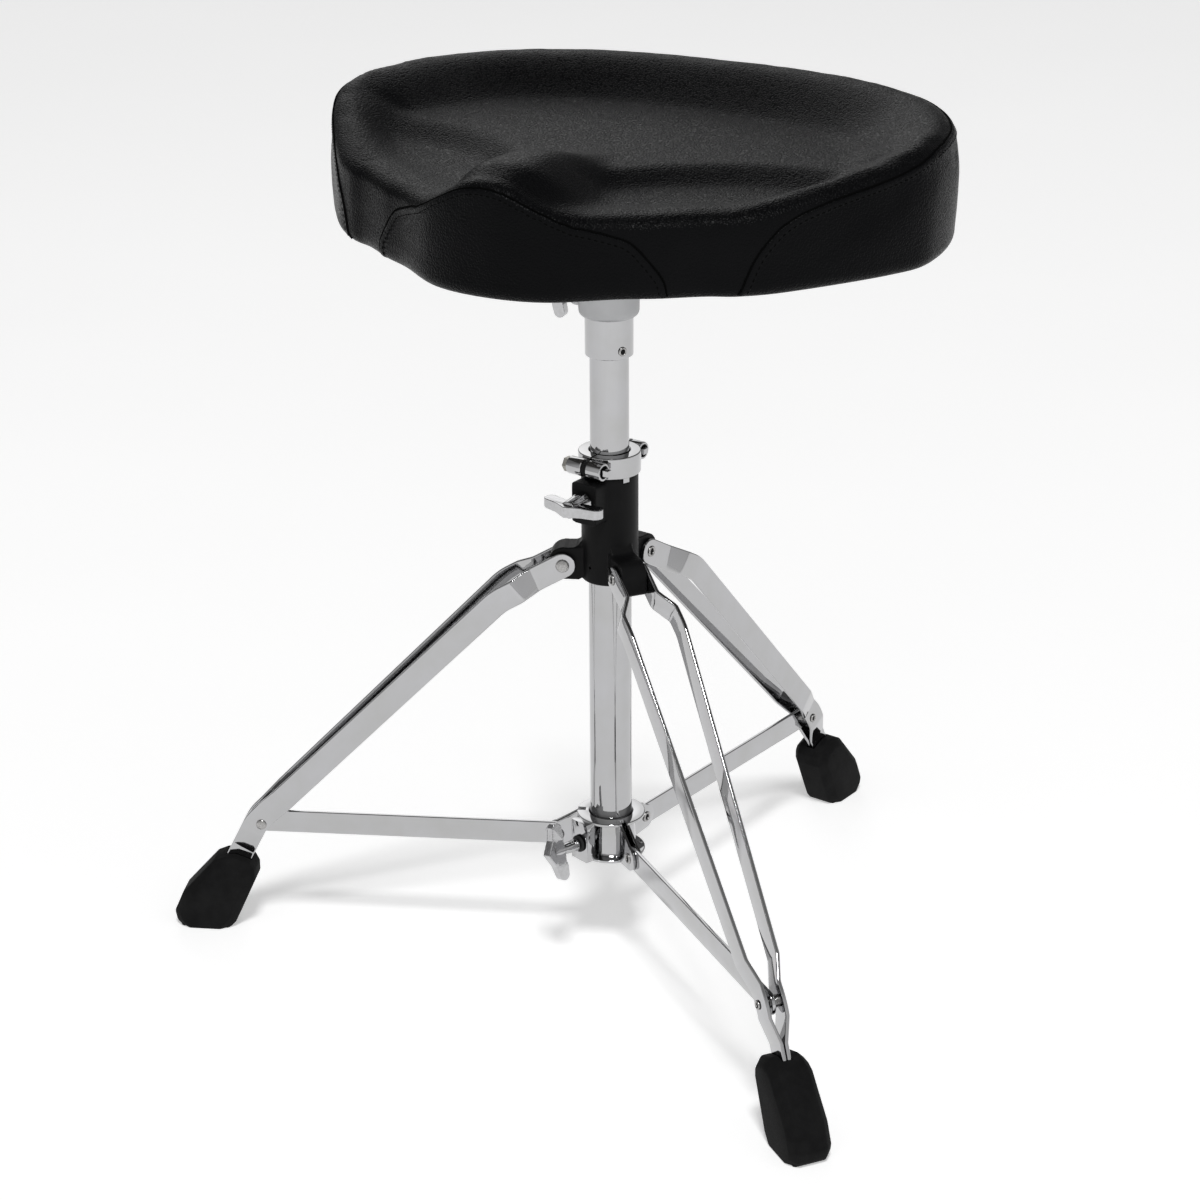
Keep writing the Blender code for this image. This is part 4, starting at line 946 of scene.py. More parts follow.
def leg_strap(facts, metal, leg, label, side):
    """One of a leg's two straps: bent at knee and ankle, spread beside its twin and rounded at the top."""
    side_path = SidePath()
    plan = spread_path(side_path.length)
    half = STRAP_WIDTH / 2
    stations = [(-half * math.cos(math.radians(a)), half * math.sin(math.radians(a)))
                for a in (8, 14, 22, 31, 41, 52, 64, 77)]
    marks = {round(d, 4) for d in side_path.distances}
    marks |= {round(p.x, 4) for p in plan if 0 < p.x < side_path.length}
    marks |= {round(0.012 * i, 4) for i in range(int(side_path.length / 0.012))}
    kept = [0.0]
    for mark in sorted(marks):
        if mark - kept[-1] > 0.0007:
            kept.append(mark)
    stations += [(mark, half) for mark in kept]
    spoke = facts.about_post(facts.legs[leg])
    bm = bmesh.new()
    sections = []
    for distance, reach in stations:
        offset, across = spread_at(plan, distance)
        section = []
        for thick, edge in strap_section(reach):
            shift = across * thick
            point, up = side_path.at(distance + shift.x)
            corner = point + up * edge
            section.append(bm.verts.new(spoke @ Vector((corner.x, side * (offset + shift.y), corner.y))))
        sections.append(section)
    skin(bm, sections)
    strap = make(f"leg_{leg}_strap_{label}_piece", bm, metal, 50.0)
    return dress(strap, "leg_" + leg, "chrome", f"leg_{leg}_strap_{label}")


def brace_studs(facts, metal, dark, leg):
    """The rivet ends and spacers at the brace's outer pivot, one on each strap."""
    pivot_r, pivot_z = BRACE_PIVOT_ON_LEG
    spoke = facts.about_post(facts.legs[leg]) @ Matrix.Translation((pivot_r, 0, pivot_z))
    shank = SMALL_RIVET_R
    inner = BRACE_THICKNESS / 2 + BRACE_PLAY
    face = BRACE_GRIP - STRAP_THICKNESS / 2
    out = BRACE_GRIP + STRAP_THICKNESS / 2 + RIVET_FIT
    base = [(0, inner), (STUD_SPACER_R, inner), (STUD_SPACER_R, face), (shank, face), (shank, out)]
    dome = [(STUD_HEAD_R * math.cos(a), out + 0.0003 + 0.0015 * math.sin(a))
            for a in (math.radians(90 * i / 8) for i in range(8))] + [(0, out + 0.0018)]
    hollow = shank * RIVET_HOLLOW
    roll = arc(((STUD_ROLL_R + hollow) / 2, out + 0.0003), (STUD_ROLL_R - hollow) / 2, 0, 180, 10)
    tail = roll + [(hollow, out - 0.002), (0, out - 0.002)]
    for label, side, end in (("head", 1, [(STUD_HEAD_R, out)] + dome), ("tail", -1, tail)):
        bm = bmesh.new()
        lathe(bm, base + end, SMALL_ROUND, spoke @ along((0, side, 0)))
        piece = make(f"leg_{leg}_brace_rivet_{label}_piece", bm, metal)
        dress(piece, "leg_" + leg, "rivet", f"leg_{leg}_brace_rivet_{label}")
    # a near-black disc paints the shade inside the rivet's hollow end
    hollow_shade_disc(f"leg_{leg}_brace_rivet_hollow", "leg_" + leg, dark, spoke, (0, 1, 0), shank, out)


def foot_outline():
    """Side view in radius and height: shoulders at the top, a flat tread on the floor."""
    return [(0.2825, 0.0570), (0.2950, 0.0615), (0.3035, 0.0610), (0.3115, 0.0575), (0.3370, 0.0290),
            (0.3445, 0.0120), (0.3430, 0.0040), (0.3395, 0.0), (0.3000, 0.0), (0.2960, 0.0045),
            (0.2790, 0.0420), (0.2790, 0.0500)]


def leg_foot(facts, rubber, leg):
    """A rubber boot over the strap ends: faceted sides, soft edges and a nubbed tread."""
    spoke = facts.about_post(facts.legs[leg])
    bm = bmesh.new()
    prism(bm, foot_outline(), -FOOT_HALF_WIDTH, FOOT_HALF_WIDTH, upright())
    edges = [e for e in bm.edges if abs(e.verts[0].co.y - e.verts[1].co.y) < 1e-6
             and max(v.co.z for v in e.verts) > 0.004]
    bmesh.ops.bevel(bm, geom=edges, offset=FOOT_CHAMFER, segments=1, affect="EDGES", clamp_overlap=True)
    foot = make(f"leg_{leg}_foot_piece", bm, rubber)
    bevel(foot, 0.0011, 2, 20.0)
    side_path = SidePath()
    point, up = side_path.at(side_path.length)
    run = Vector((up.y, -up.x))
    half = STRAP_WIDTH / 2 + 0.0006

    def pocket(tool):
        bottom = point + run * FOOT_POCKET_PLAY
        mouth = point - run * FOOT_POCKET_REACH
        corners = [bottom + up * half, bottom - up * half, mouth - up * half, mouth + up * half]
        wide = FOOT_POCKET_HALF_WIDTH
        prism(tool, [(c.x, c.y) for c in corners], -wide, wide, upright())

    combine(foot, pocket, "DIFFERENCE")

    def nubs(tool):
        profile = [(0, 0.0), (0.0021, 0.0), (0.0026, 0.0006), (0.0027, 0.0030), (0, 0.0030)]
        for row in range(FOOT_NUBS[0]):
            for column in range(FOOT_NUBS[1]):
                x = FOOT_NUB_START[0] + FOOT_NUB_PITCH[0] * row
                y = FOOT_NUB_START[1] + FOOT_NUB_PITCH[1] * column
                lathe(tool, profile, 14, Matrix.Translation((x, y, 0)))

    combine(foot, nubs, "UNION")
    for vertex in foot.data.vertices:
        vertex.co = spoke @ vertex.co
    shade(foot.data, 34.0)
    return dress(foot, "leg_" + leg, "rubber", f"leg_{leg}_foot")


# ---------------------------------------------------------------- lower clamp and braces
def brace_ear_outline(low, high):
    """An ear of the clamp between its flanges, round about the brace's pivot."""
    pivot_r, pivot_z = BRACE_PIVOT
    nose = arc((pivot_r, pivot_z), 0.0095, -90, 80, 12)
    return [(CLAMP_R - 0.0010, low + 0.0002)] + nose + [(pivot_r - 0.009, high - 0.006),
                                                       (CLAMP_R + 0.0042, high - 0.0002),
                                                       (CLAMP_R - 0.0010, high - 0.0002)]


def clamp_collar(facts, metal):
    """Flanged ring with a slot and a pair of ears for each brace, and a plate for the wing bolt."""
    low, high = (corner.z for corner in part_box("clamp_collar"))
    spot = facts.about_post()
    bm = bmesh.new()
    bore = OUTER_R + 0.0005
    edge = 0.0007
    rim = FLANGE_R - edge

    def lip(z):
        return arc((rim, z + edge), edge, -90, 0, 4) + arc((rim, z + SHEET - edge), edge, 0, 90, 4)

    profile = ([(bore, low)] + lip(low) + [(CLAMP_R + 0.001, low + SHEET), (CLAMP_R, low + SHEET + 0.001),
                                           (CLAMP_R, high - SHEET - 0.001), (CLAMP_R + 0.001, high - SHEET)]
               + lip(high - SHEET) + [(bore + 0.0008, high), (bore, high - 0.0008)])
    lathe(bm, profile, TUBE_SIDES, spot)
    collar = make("clamp_body", bm, metal)

    def cuts(tool):
        inner = BRACE_THICKNESS / 2 + BRACE_PLAY + 0.0006
        for azimuth in facts.legs.values():
            box(tool, (CLAMP_R + 0.0006, -inner, low - 0.01), (FLANGE_R + 0.01, inner, high + 0.01),
                facts.about_post(azimuth))

    combine(collar, cuts, "DIFFERENCE")

    def plate_and_ears(tool):
        near, far = CLAMP_BLOCK
        wide = CLAMP_BLOCK_HALF_WIDTH
        bolt_way = facts.about_post(CLAMP_BOLT_AZIMUTH)
        face = [(-wide, low + 0.0006), (wide - 0.0015, low + 0.0006),
                (wide, low + 0.0030), (wide, high - 0.0050),
                (wide - 0.0015, high - 0.0006), (-wide, high - 0.0006)]
        prism(tool, face, near, far, lambda u, v, w: bolt_way @ Vector((w, u, v)))
        inner = BRACE_THICKNESS / 2 + BRACE_PLAY
        for azimuth in facts.legs.values():
            spoke = facts.about_post(azimuth)
            for side in (-1, 1):
                near, far = sorted((side * inner, side * (inner + EAR_THICKNESS)))
                prism(tool, brace_ear_outline(low, high), near, far, upright(spoke))

    combine(collar, plate_and_ears, "UNION")

    def bolt_hole(tool):
        way = facts.about_post(CLAMP_BOLT_AZIMUTH)
        rod(tool, CLAMP_HOLE_R, (0.012, 0, CLAMP_BOLT_Z), (0.045, 0, CLAMP_BOLT_Z), 32, way)

    combine(collar, bolt_hole, "DIFFERENCE")
    bevel(collar, 0.00045, 2, 35.0)
    return dress(collar, "clamp", "chrome", "clamp_collar")


def brace(facts, metal, leg):
    """A flat strap with round ends, from the clamp's ear to the leg."""
    spoke = facts.about_post(facts.legs[leg])
    start = Vector(BRACE_PIVOT)
    end = Vector(BRACE_PIVOT_ON_LEG)
    run = end - start
    slope = math.degrees(math.atan2(run.y, run.x))
    half = BRACE_WIDTH / 2
    outline = (arc(start, half, slope + 90, slope + 270, 24) + arc(end, half, slope - 90, slope + 90, 24))
    bm = bmesh.new()
    prism(bm, outline, -BRACE_THICKNESS / 2, BRACE_THICKNESS / 2, upright(spoke))
    strap = make(f"brace_{leg}_piece", bm, metal)
    bevel(strap, 0.0007, 4, 60.0)
    return dress(strap, "brace_" + leg, "chrome", "brace_" + leg)


# ---------------------------------------------------------------- seat bracket
def seat_bracket(facts, metal):
    """The cast socket: round neck with a soft shoulder, square plate and a boss for the wing bolt."""
    low, high = (corner.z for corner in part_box("seat_bracket"))
    spot = facts.about_post(facts.seat_turn)
    plate = high - 0.0055
    bore = SLEEVE_R + 0.0004
    bm = bmesh.new()
    shoulder = arc((BRACKET_R - 0.0045, low + 0.0045), 0.0045, -85, 0, 10)
    flare = arc((BRACKET_R + 0.010, plate - 0.009), 0.010, 180, 90, 8)
    lathe(bm, [(bore, low)] + shoulder + flare + [(0.0355, plate + 0.001), (bore, plate + 0.001)],
          TUBE_SIDES, spot)
    side = BRACKET_PLATE
    corners = round_corners([(-side, -side), (side, -side), (side, side), (-side, side)], 0.010, 8)
    prism(bm, corners, plate, high, flat(spot))
    lathe(bm, [(0, 0.0185), (0.0108, 0.0185), (0.0108, 0.0262),
               (0.0100, 0.0279), (0.0086, 0.0285), (0, 0.0285)],
          ROUND, spot @ along((-1, 0, 0), (0, 0, SEAT_BOLT_Z)))
    bracket = make("seat_bracket_casting", bm, metal)
    melt(bracket, 0.0009, 4)
    return dress(bracket, "seat", "satin_casting", "seat_bracket")


# ---------------------------------------------------------------- cushion
def seat_outline(steps=20):
    """The seat's whole plan outline as a smooth closed curve through the given points (Catmull-Rom)."""
    points = [Vector(p) for p in SEAT_OUTLINE]
    guides = [Vector((-points[1].x, points[1].y))] + points + [Vector((-points[-2].x, points[-2].y))]
    half = []
    for a, b, c, d in zip(guides, guides[1:], guides[2:], guides[3:]):
        for i in range(steps):
            t = i / steps
            half.append(0.5 * (2 * b + (c - a) * t + (2 * a - 5 * b + 4 * c - d) * t * t
                               + (3 * b - a - 3 * c + d) * t ** 3))
    half.append(points[-1])
    return np.array([p[:] for p in half] + [(-p.x, p.y) for p in reversed(half[1:-1])])


def smoothstep(value, low, high):
    share = np.clip((value - low) / (high - low), 0.0, 1.0)
    return share * share * (3 - 2 * share)


def edge_height(x, y):
    """Height of the rolled top edge: the nose in front, scooped thighs, the bolster round the back."""
    nose = NOSE_RISE * np.exp(-(np.abs(x) / NOSE_HALF_WIDTH) ** 2.4) * smoothstep(-y, 0.11, 0.15)
    return SEAT_EDGE_Z + nose + np.interp(y, *zip(*RIM_RISE))


def sitting_height(x, y):
    """Height of the sitting surface: bowl, two thigh scoops in front of it and the ridge between them."""
    across = np.abs(x)
    inward = np.maximum(SCOOP_HALF_WIDTH - across, 0)
    front = SCOOP_FRONT - SCOOP_CURVE * (inward * 1000) ** SCOOP_POWER
    base = PAN_Z - SCOOP_DEPTH * smoothstep(front - y, -0.004, 0.036)
    crest = PAN_Z + CREST_RISE * smoothstep(-y, 0.010, 0.120)
    width = 0.014 + 0.030 * smoothstep(-y, 0.0, 0.165)
    return base + np.maximum(crest - base, 0) * np.exp(-(across / width) ** 3.0)


def top_height(x, y, depth, rim_x, rim_y):
    """The cover's height, from the sitting surface and the rolled rim, depth metres in from the outline."""
    rim = edge_height(rim_x, rim_y)
    nose = smoothstep(-rim_y, 0.120, 0.150) * smoothstep(0.080 - np.abs(rim_x), 0.0, 0.035)
    slope = 0.034 + 0.032 * smoothstep(rim_y, -0.050, 0.110) - 0.012 * nose
    share = np.clip((depth - ROLL_DEPTH) / slope, 0.0, 1.0)
    fall = 0.6 * np.cos(np.pi * share / 2) + 0.4 * np.cos(np.pi * share / 2) ** 2
    inner = sitting_height(x, y)
    height = inner + (rim - inner) * fall
    roll = 1 - np.clip(depth / ROLL_DEPTH, 0.0, 1.0)
    return height - ROLL_DROP * (1 - np.sqrt(np.maximum(1 - roll ** 2, 0)))


def inset_outline(outline, inset):
    run = np.roll(outline, -1, 0) - np.roll(outline, 1, 0)
    run /= np.linalg.norm(run, axis=1)[:, None]
    return outline + np.stack([-run[:, 1], run[:, 0]], 1) * inset


def cushion_rings(outline):
    """All rings of points: the fold under the seat, round the bottom edge, up the wall and over the top."""
    x, y = outline.T
    rim = edge_height(x, y) - ROLL_DROP
    rings = []

    def ring(inset, height):
        plan = inset_outline(outline, inset)
        rings.append(np.column_stack([plan, np.broadcast_to(height, len(plan))]))

    for rise in (0.0126, 0.0050, 0.0):
        ring(TUCK, SEAT_BOTTOM + rise)
    for angle in range(0, 91, 10):
        a = math.radians(angle)
        ring(BOTTOM_ROUND_R * (1 - math.sin(a)) * 0.8, SEAT_BOTTOM + BOTTOM_ROUND_R * (1 - math.cos(a)))
    base = SEAT_BOTTOM + BOTTOM_ROUND_R
    for i in range(1, 14):
        share = i / 14
        ring(-0.0010 * math.sin(math.pi * share), base + (rim - base) * share)
    centre = np.array(PAN_CENTRE)
    depths = [0.0, 0.0003, 0.0010, 0.0021, 0.0036, 0.0054, 0.0076, 0.0100, 0.0128]
    for depth in depths:
        plan = inset_outline(outline, depth)
        height = top_height(plan[:, 0], plan[:, 1], np.full(len(plan), depth), x, y)
        rings.append(np.column_stack([plan, height]))
    plan = inset_outline(outline, depths[-1])
    for i in range(1, PAN_RINGS):
        share = 1 - i / PAN_RINGS
        moved = centre + (plan - centre) * share
        depth, near = nearest(moved, outline)
        height = top_height(moved[:, 0], moved[:, 1], depth, outline[near, 0], outline[near, 1])
        rings.append(np.column_stack([moved, height]))
    soften(rings, len(rings) - PAN_RINGS + 2)
    return rings


def soften(rings, first):
    """Even out the heights of the sitting surface, from ring number first inwards."""
    heights = np.array([ring[:, 2] for ring in rings[first - 1:]])
    for _ in range(SOFTENING_PASSES):
        inner = heights[1:-1]
        around = (np.roll(inner, 1, 1) + np.roll(inner, -1, 1) + heights[:-2] + heights[2:]) / 4
        heights[1:-1] = (inner + around) / 2
    for ring, height in zip(rings[first:-1], heights[1:-1]):
        ring[:, 2] = height


def nearest(points, outline):
    """Distance to the outline, and the outline point that is nearest."""
    gaps = np.linalg.norm(points[:, None, :] - outline[None, :, :], axis=2)
    near = gaps.argmin(1)
    return gaps[np.arange(len(points)), near], near


def cushion_mesh(facts, cover):
    outline = seat_outline()
    rings = cushion_rings(outline)
    spot = facts.about_post(facts.seat_turn)
    bm = bmesh.new()
    made = [[bm.verts.new(spot @ Vector(p)) for p in ring] for ring in rings]
    skin(bm, made, capped=False)
    bm.faces.new(list(reversed(made[0])))
    middle = np.array([PAN_CENTRE])
    height = sitting_height(middle[:, 0], middle[:, 1])[0]
    top = bm.verts.new(spot @ Vector((*PAN_CENTRE, height)))
    for i in range(len(made[-1])):
        bm.faces.new([made[-1][i], made[-1][(i + 1) % len(made[-1])], top])
    return make("seat_cushion_cover", bm, cover, 70.0)


def puff(cushion):
    """Let the cover swell as cloth under light pressure, and carry the small movement to the fine mesh."""
    low = min(v.co.z for v in cushion.data.vertices)
    soft = link(bpy.data.objects.new("puff", cushion.data.copy()))
    remesh = soft.modifiers.new("even", "REMESH")
    remesh.mode = "VOXEL"
    remesh.voxel_size = PUFF_VOXEL
    settle(soft, 180.0)
    count = len(soft.data.vertices)
    start = np.empty(count * 3)
    soft.data.vertices.foreach_get("co", start)
    start = start.reshape(-1, 3)
    held = soft.vertex_groups.new(name="held")
    held.add([int(i) for i in np.nonzero(start[:, 2] < low + PUFF_VOXEL)[0]], 1.0, "REPLACE")
    cloth = soft.modifiers.new("cloth", "CLOTH")
    cloth.settings.quality = 6
    cloth.settings.tension_stiffness = 25
    cloth.settings.compression_stiffness = 25
    cloth.settings.bending_stiffness = 4
    cloth.settings.use_pressure = True
    cloth.settings.uniform_pressure_force = 4.0
    cloth.settings.effector_weights.gravity = 0
    cloth.settings.vertex_group_mass = "held"
    scene = bpy.context.scene
    for frame in range(1, PUFF_FRAMES + 1):
        scene.frame_set(frame)
    graph = bpy.context.evaluated_depsgraph_get()
    swollen = soft.evaluated_get(graph).to_mesh()
    end = np.empty(count * 3)
    swollen.vertices.foreach_get("co", end)
    scene.frame_set(1)
    moved = end.reshape(-1, 3) - start
    length = np.linalg.norm(moved, axis=1)
    moved *= (np.minimum(length, PUFF_LIMIT) / np.maximum(length, 1e-9))[:, None]
    carry(cushion, start, moved)
    bpy.data.objects.remove(soft)


def carry(cushion, places, moves):
    """Move each vertex by the average of the moves around it, none of them below the board."""
    tree = KDTree(len(places))
    for i, place in enumerate(places):
        tree.insert(place, i)
    tree.balance()
    floor = min(v.co.z for v in cushion.data.vertices)
    for vertex in cushion.data.vertices:
        found = tree.find_n(vertex.co, 7)
        weights = [1.0 / (distance + 0.002) for _, _, distance in found]
        total = sum(weights)
        move = sum((Vector(moves[index]) * w for (_, index, _), w in zip(found, weights)), Vector()) / total
        share = min(max((vertex.co.z - floor - 0.004) / 0.02, 0.0), 1.0)
        vertex.co += move * share


# ---------------------------------------------------------------- seams
# half of the nose's seam, as (x, height), and the right side's seam as points
NOSE_SEAM = ((0, 0.645), (0.020, 0.642), (0.035, 0.636), (0.048, 0.628), (0.060, 0.620), (0.068, 0.617),
             (0.080, 0.612), (0.090, 0.607), (0.100, 0.595), (0.108, 0.582), (0.1105, 0.569))
SIDE_SEAM = ((0.1505, -0.103, 0.569), (0.155, -0.099, 0.584), (0.160, -0.0945, 0.597),
             (0.167, -0.088, 0.608), (0.173, -0.082, 0.615), (0.182, -0.071, 0.6215),
             (0.191, -0.057, 0.626), (0.200, -0.043, 0.6295), (0.214, -0.022, 0.634),
             (0.225, -0.004, 0.6386), (0.232, 0.009, 0.6436), (0.235, 0.028, 0.6487),
             (0.2345, 0.040, 0.6515))
BACK_SEAM = (0.055, 0.6525, 0.6555)     # y where it starts, its height there and round the back


def smooth_path(points, step):
    """A curve through points (Catmull-Rom), with its points about step apart."""
    points = [Vector(p) for p in points]
    guides = [points[0] * 2 - points[1]] + points + [points[-1] * 2 - points[-2]]
    dense = []
    for a, b, c, d in zip(guides, guides[1:], guides[2:], guides[3:]):
        for i in range(12):
            t = i / 12
            dense.append(0.5 * (2 * b + (c - a) * t + (2 * a - 5 * b + 4 * c - d) * t * t
                                + (3 * b - a - 3 * c + d) * t ** 3))
    dense.append(points[-1])
    return resample(dense, step)


def resample(dense, step):
    total = [0.0]
    for one, two in zip(dense, dense[1:]):
        total.append(total[-1] + (two - one).length)
    count = max(int(total[-1] / step), 2)
    path = []
    k = 0
    for i in range(count + 1):
        mark = total[-1] * i / count
        while k < len(total) - 2 and total[k + 1] < mark:
            k += 1
        span = max(total[k + 1] - total[k], 1e-9)
        path.append(dense[k].lerp(dense[k + 1], (mark - total[k]) / span))
    return path


def outline_front(x, outline):
    """The y of the seat's front edge at an x."""
    half = outline[:len(outline) // 2 + 1]
    front = half[half[:, 1] < 0.03]
    return float(np.interp(abs(x), front[:, 0], front[:, 1]))


def nose_seam_points(outline):
    right = [(x, outline_front(x, outline), z) for x, z in NOSE_SEAM]
    left = [(-x, y, z) for x, y, z in reversed(right[1:])]
    return left + right


def side_seam_points(outline):
    right = list(SIDE_SEAM)
    start, low, high = BACK_SEAM
    back = [(x, y) for x, y in outline[:len(outline) // 2 + 1] if y > start]
    level = [(x, y, low + (high - low) * min((y - start) / 0.1, 1.0)) for x, y in back[::12]]
    middle = [(0.0, 0.200, high)]
    half = right + level
    return half + middle + [(-x, y, z) for x, y, z in reversed(half)]


def lay(path, surface, spot):
    """Drop a path on the cover: (point, normal, direction, sideways) for each of its points."""
    placed = []
    for p in path:
        point, normal, _, _ = surface.find_nearest(spot @ p)
        placed.append((point, normal))
    laid = []
    for i, (point, normal) in enumerate(placed):
        ahead = placed[min(i + 1, len(placed) - 1)][0]
        back = placed[max(i - 1, 0)][0]
        run = (ahead - back).normalized()
        laid.append((point, normal, run, run.cross(normal).normalized()))
    return laid


def seam_band(name, laid, surface, material, width, lip):
    """The turned-under edge of the panel: a low ribbon that stands up at the seam and dies away from it."""
    steps = (0.0, 0.06, 0.16, 0.35, 0.6, 0.85, 1.0)
    heights = (-0.25, 0.62, 1.0, 0.92, 0.66, 0.30, -0.10)
    bm = bmesh.new()
    rows = []
    for point, _, _, side in laid:
        row = []
        for share, height in zip(steps, heights):
            near, up, _, _ = surface.find_nearest(point + side * (width * share))
            row.append(bm.verts.new(near + up * (lip * height)))
        under = surface.find_nearest(point + side * (width * 0.5))
        row.append(bm.verts.new(under[0] - under[1] * 0.0006))
        rows.append(row)
    skin(bm, rows)
    return make(name, bm, material, 60.0)


def seam_line(name, laid, material, radius):
    """The thin dark joint where the two sheets of vinyl meet: a near-black strip of painted shade in the
    seam's groove.
    """
    bm = bmesh.new()
    rings = []
    for point, normal, _, side in laid:
        centre = point + normal * radius * 0.25 - side * radius * 0.7
        ring = []
        for i in range(8):
            a = math.tau * i / 8
            step = side * (radius * math.cos(a)) + normal * (radius * math.sin(a))
            ring.append(bm.verts.new(centre + step))
        rings.append(ring)
    skin(bm, rings)
    return make(name, bm, material, 80.0)


def stitches(name, laid, surface, material, offset, pitch, length, radius, lift):
    """A row of short thread stitches, sunk at both ends, beside the seam."""
    centres = [point + side * offset for point, _, _, side in laid]
    marks = resample(centres, pitch)
    bm = bmesh.new()
    for i in range(1, len(marks) - 1):
        run = (marks[i + 1] - marks[i - 1]).normalized()
        middle, up, _, _ = surface.find_nearest(marks[i])
        rings = []
        steps = 6
        for k in range(steps + 1):
            share = 2 * k / steps - 1
            size = radius * math.sqrt(max(1 - share ** 4, 0.02))
            centre = middle + run * (share * length / 2) + up * (lift - 0.0005 * share ** 4)
            side = run.cross(up).normalized()
            ring = [bm.verts.new(centre + side * (size * math.cos(math.tau * q / 6))
                                 + up * (size * math.sin(math.tau * q / 6))) for q in range(6)]
            rings.append(ring)
        skin(bm, rings)
    return make(name, bm, material, 80.0)


def seams(facts, cushion, materials):
    """The two sewn seams, each with its turned edge, a dark joint of painted shade and a row of stitches."""
    spot = facts.about_post(facts.seat_turn)
    surface = BVHTree.FromObject(cushion, bpy.context.evaluated_depsgraph_get())
    outline = seat_outline()
    for label, points in (("nose", nose_seam_points(outline)), ("side", side_seam_points(outline))):
        laid = lay(smooth_path(points, SEAM_STEP), surface, spot)
        band = seam_band(f"seat_{label}_seam_band", laid, surface, materials["band"], *SEAM_BAND)
        dress(band, "seat", "vinyl")
        line = seam_line(f"seat_{label}_seam_line", laid, materials["shadow"], SEAM_LINE_R)
        dress(line, "seat", "vinyl")
        row = stitches(f"seat_{label}_stitches", laid, surface, materials["thread"], **STITCH)
        dress(row, "seat", "vinyl")


def seat_cushion(facts, materials):
    """The padded cover, swollen a little as cloth, and its seams."""
    cushion = cushion_mesh(facts, materials["vinyl"])
    puff(cushion)
    dress(cushion, "seat", "vinyl", "seat_cushion")
    seams(facts, cushion, materials)
    return cushion


# ---------------------------------------------------------------- the whole stand
def column(facts, m):
    """Tubes, sleeve, hub and memory lock."""
    tube("outer_tube_piece", "stand", m["chrome"], facts, OUTER_BORE, OUTER_R, 0.0005, "outer_tube")
    tube("seat_post_piece", "post", m["chrome"], facts, POST_BORE, POST_R, 0.0005, "seat_post")
    tube("post_sleeve_piece", "post", m["chrome"], facts, POST_R + GAP, SLEEVE_R, 0.0009, "post_sleeve")
    sleeve_rivet(facts, m)
    hub(facts, m["paint"])
    lock_parts(facts, m["chrome"], m["dark"])


def legs(facts, m):
    """The three legs with their feet, braces and rivets."""
    for leg, azimuth in facts.legs.items():
        leg_strap(facts, m["chrome"], leg, "left", 1)
        leg_strap(facts, m["chrome"], leg, "right", -1)
        leg_foot(facts, m["rubber"], leg)
        brace_studs(facts, m["rivet"], m["dark"], leg)
        brace(facts, m["chrome"], leg)
        pivot = facts.about_post(azimuth) @ Matrix.Translation((LEG_PIVOT[0], 0, LEG_PIVOT[1]))
        grip = 2 * (STRAP_SPREAD[0][1] + STRAP_THICKNESS / 2 + RIVET_FIT)
        rivet(f"leg_{leg}_pivot_rivet", "stand", m, pivot, (0, 1, 0), RIVET_R, grip)
        inner = facts.about_post(azimuth) @ Matrix.Translation((BRACE_PIVOT[0], 0, BRACE_PIVOT[1]))
        grip = 2 * (BRACE_THICKNESS / 2 + BRACE_PLAY + EAR_THICKNESS + RIVET_FIT)
        rivet(f"brace_{leg}_pivot_rivet", "clamp", m, inner, (0, 1, 0), CLAMP_RIVET_R, grip)


def bolts(facts, m):
    """The three wing bolts, and the washer under the clamp's."""
    down = Matrix.Rotation(math.radians(-90), 4, "Z") @ Matrix.Rotation(math.radians(90), 4, "X")
    spot = facts.about_post(0.0, HEIGHT_BOLT_Z) @ down
    wing_bolt("height_wing_bolt", "height_bolt", m["cast"], spot, **HEIGHT_BOLT)
    way = facts.about_post(CLAMP_BOLT_AZIMUTH, CLAMP_BOLT_Z)
    spot = way @ Matrix.Rotation(math.radians(CLAMP_WING_TILT), 4, "X")
    wing_bolt("clamp_wing_bolt", "clamp_bolt", m["cast"], spot, **CLAMP_BOLT)
    washer = bmesh.new()
    near = CLAMP_BLOCK[1] + GAP
    lathe(washer, [(CLAMP_HOLE_R, near), (0.0060, near), (0.0066, near + 0.0005),
                   (0.0066, near + 0.0013), (0.0058, near + 0.0021), (CLAMP_HOLE_R, near + 0.0021)],
          ROUND, way @ along((1, 0, 0)))
    dress(make("clamp_washer_piece", washer, m["nylon"]), "clamp_bolt", "nylon", "clamp_washer")
    spot = facts.about_post(facts.seat_turn, SEAT_BOLT_Z) @ Matrix.Rotation(math.radians(180), 4, "Z")
    wing_bolt("seat_wing_bolt", "seat_bolt", m["cast"], spot, **SEAT_BOLT)


def kept_nodes(frame, m):
    """Give the CAD nodes that stay their own materials."""
    finishes = {"tube_end_cap": "nylon", "hub_bushing": "nylon",
                "memory_lock_key_nut": "zinc", "memory_lock_rear_nut": "zinc", "seat_board": "plywood"}
    finishes.update({f"bracket_screw_{i}": "zinc" for i in (1, 2, 3, 4)})
    for node, finish in finishes.items():
        mesh = frame["nodes"][node].data
        mesh.materials.clear()
        mesh.materials.append(m[finish])


# ---------------------------------------------------------------- light, floor and camera
def floor():
    """A wide pale floor that glows a little, so that it stays light under the seat."""
    bm = bmesh.new()
    signs = ((-1, -1), (1, -1), (1, 1), (-1, 1))
    bm.faces.new([bm.verts.new((x * FLOOR_HALF, y * FLOOR_HALF, 0)) for x, y in signs])
    nodes = Nodes("studio_floor")
    nodes.set(Roughness=1.0, Specular_IOR_Level=0.0, Emission_Color=(1, 1, 1, 1), Emission_Strength=0.40)
    nodes.colors(nodes.noise(1.5, 2.0), (0.88, 0.88, 0.88), (0.90, 0.90, 0.90))
    make("studio_floor", bm, nodes.material)


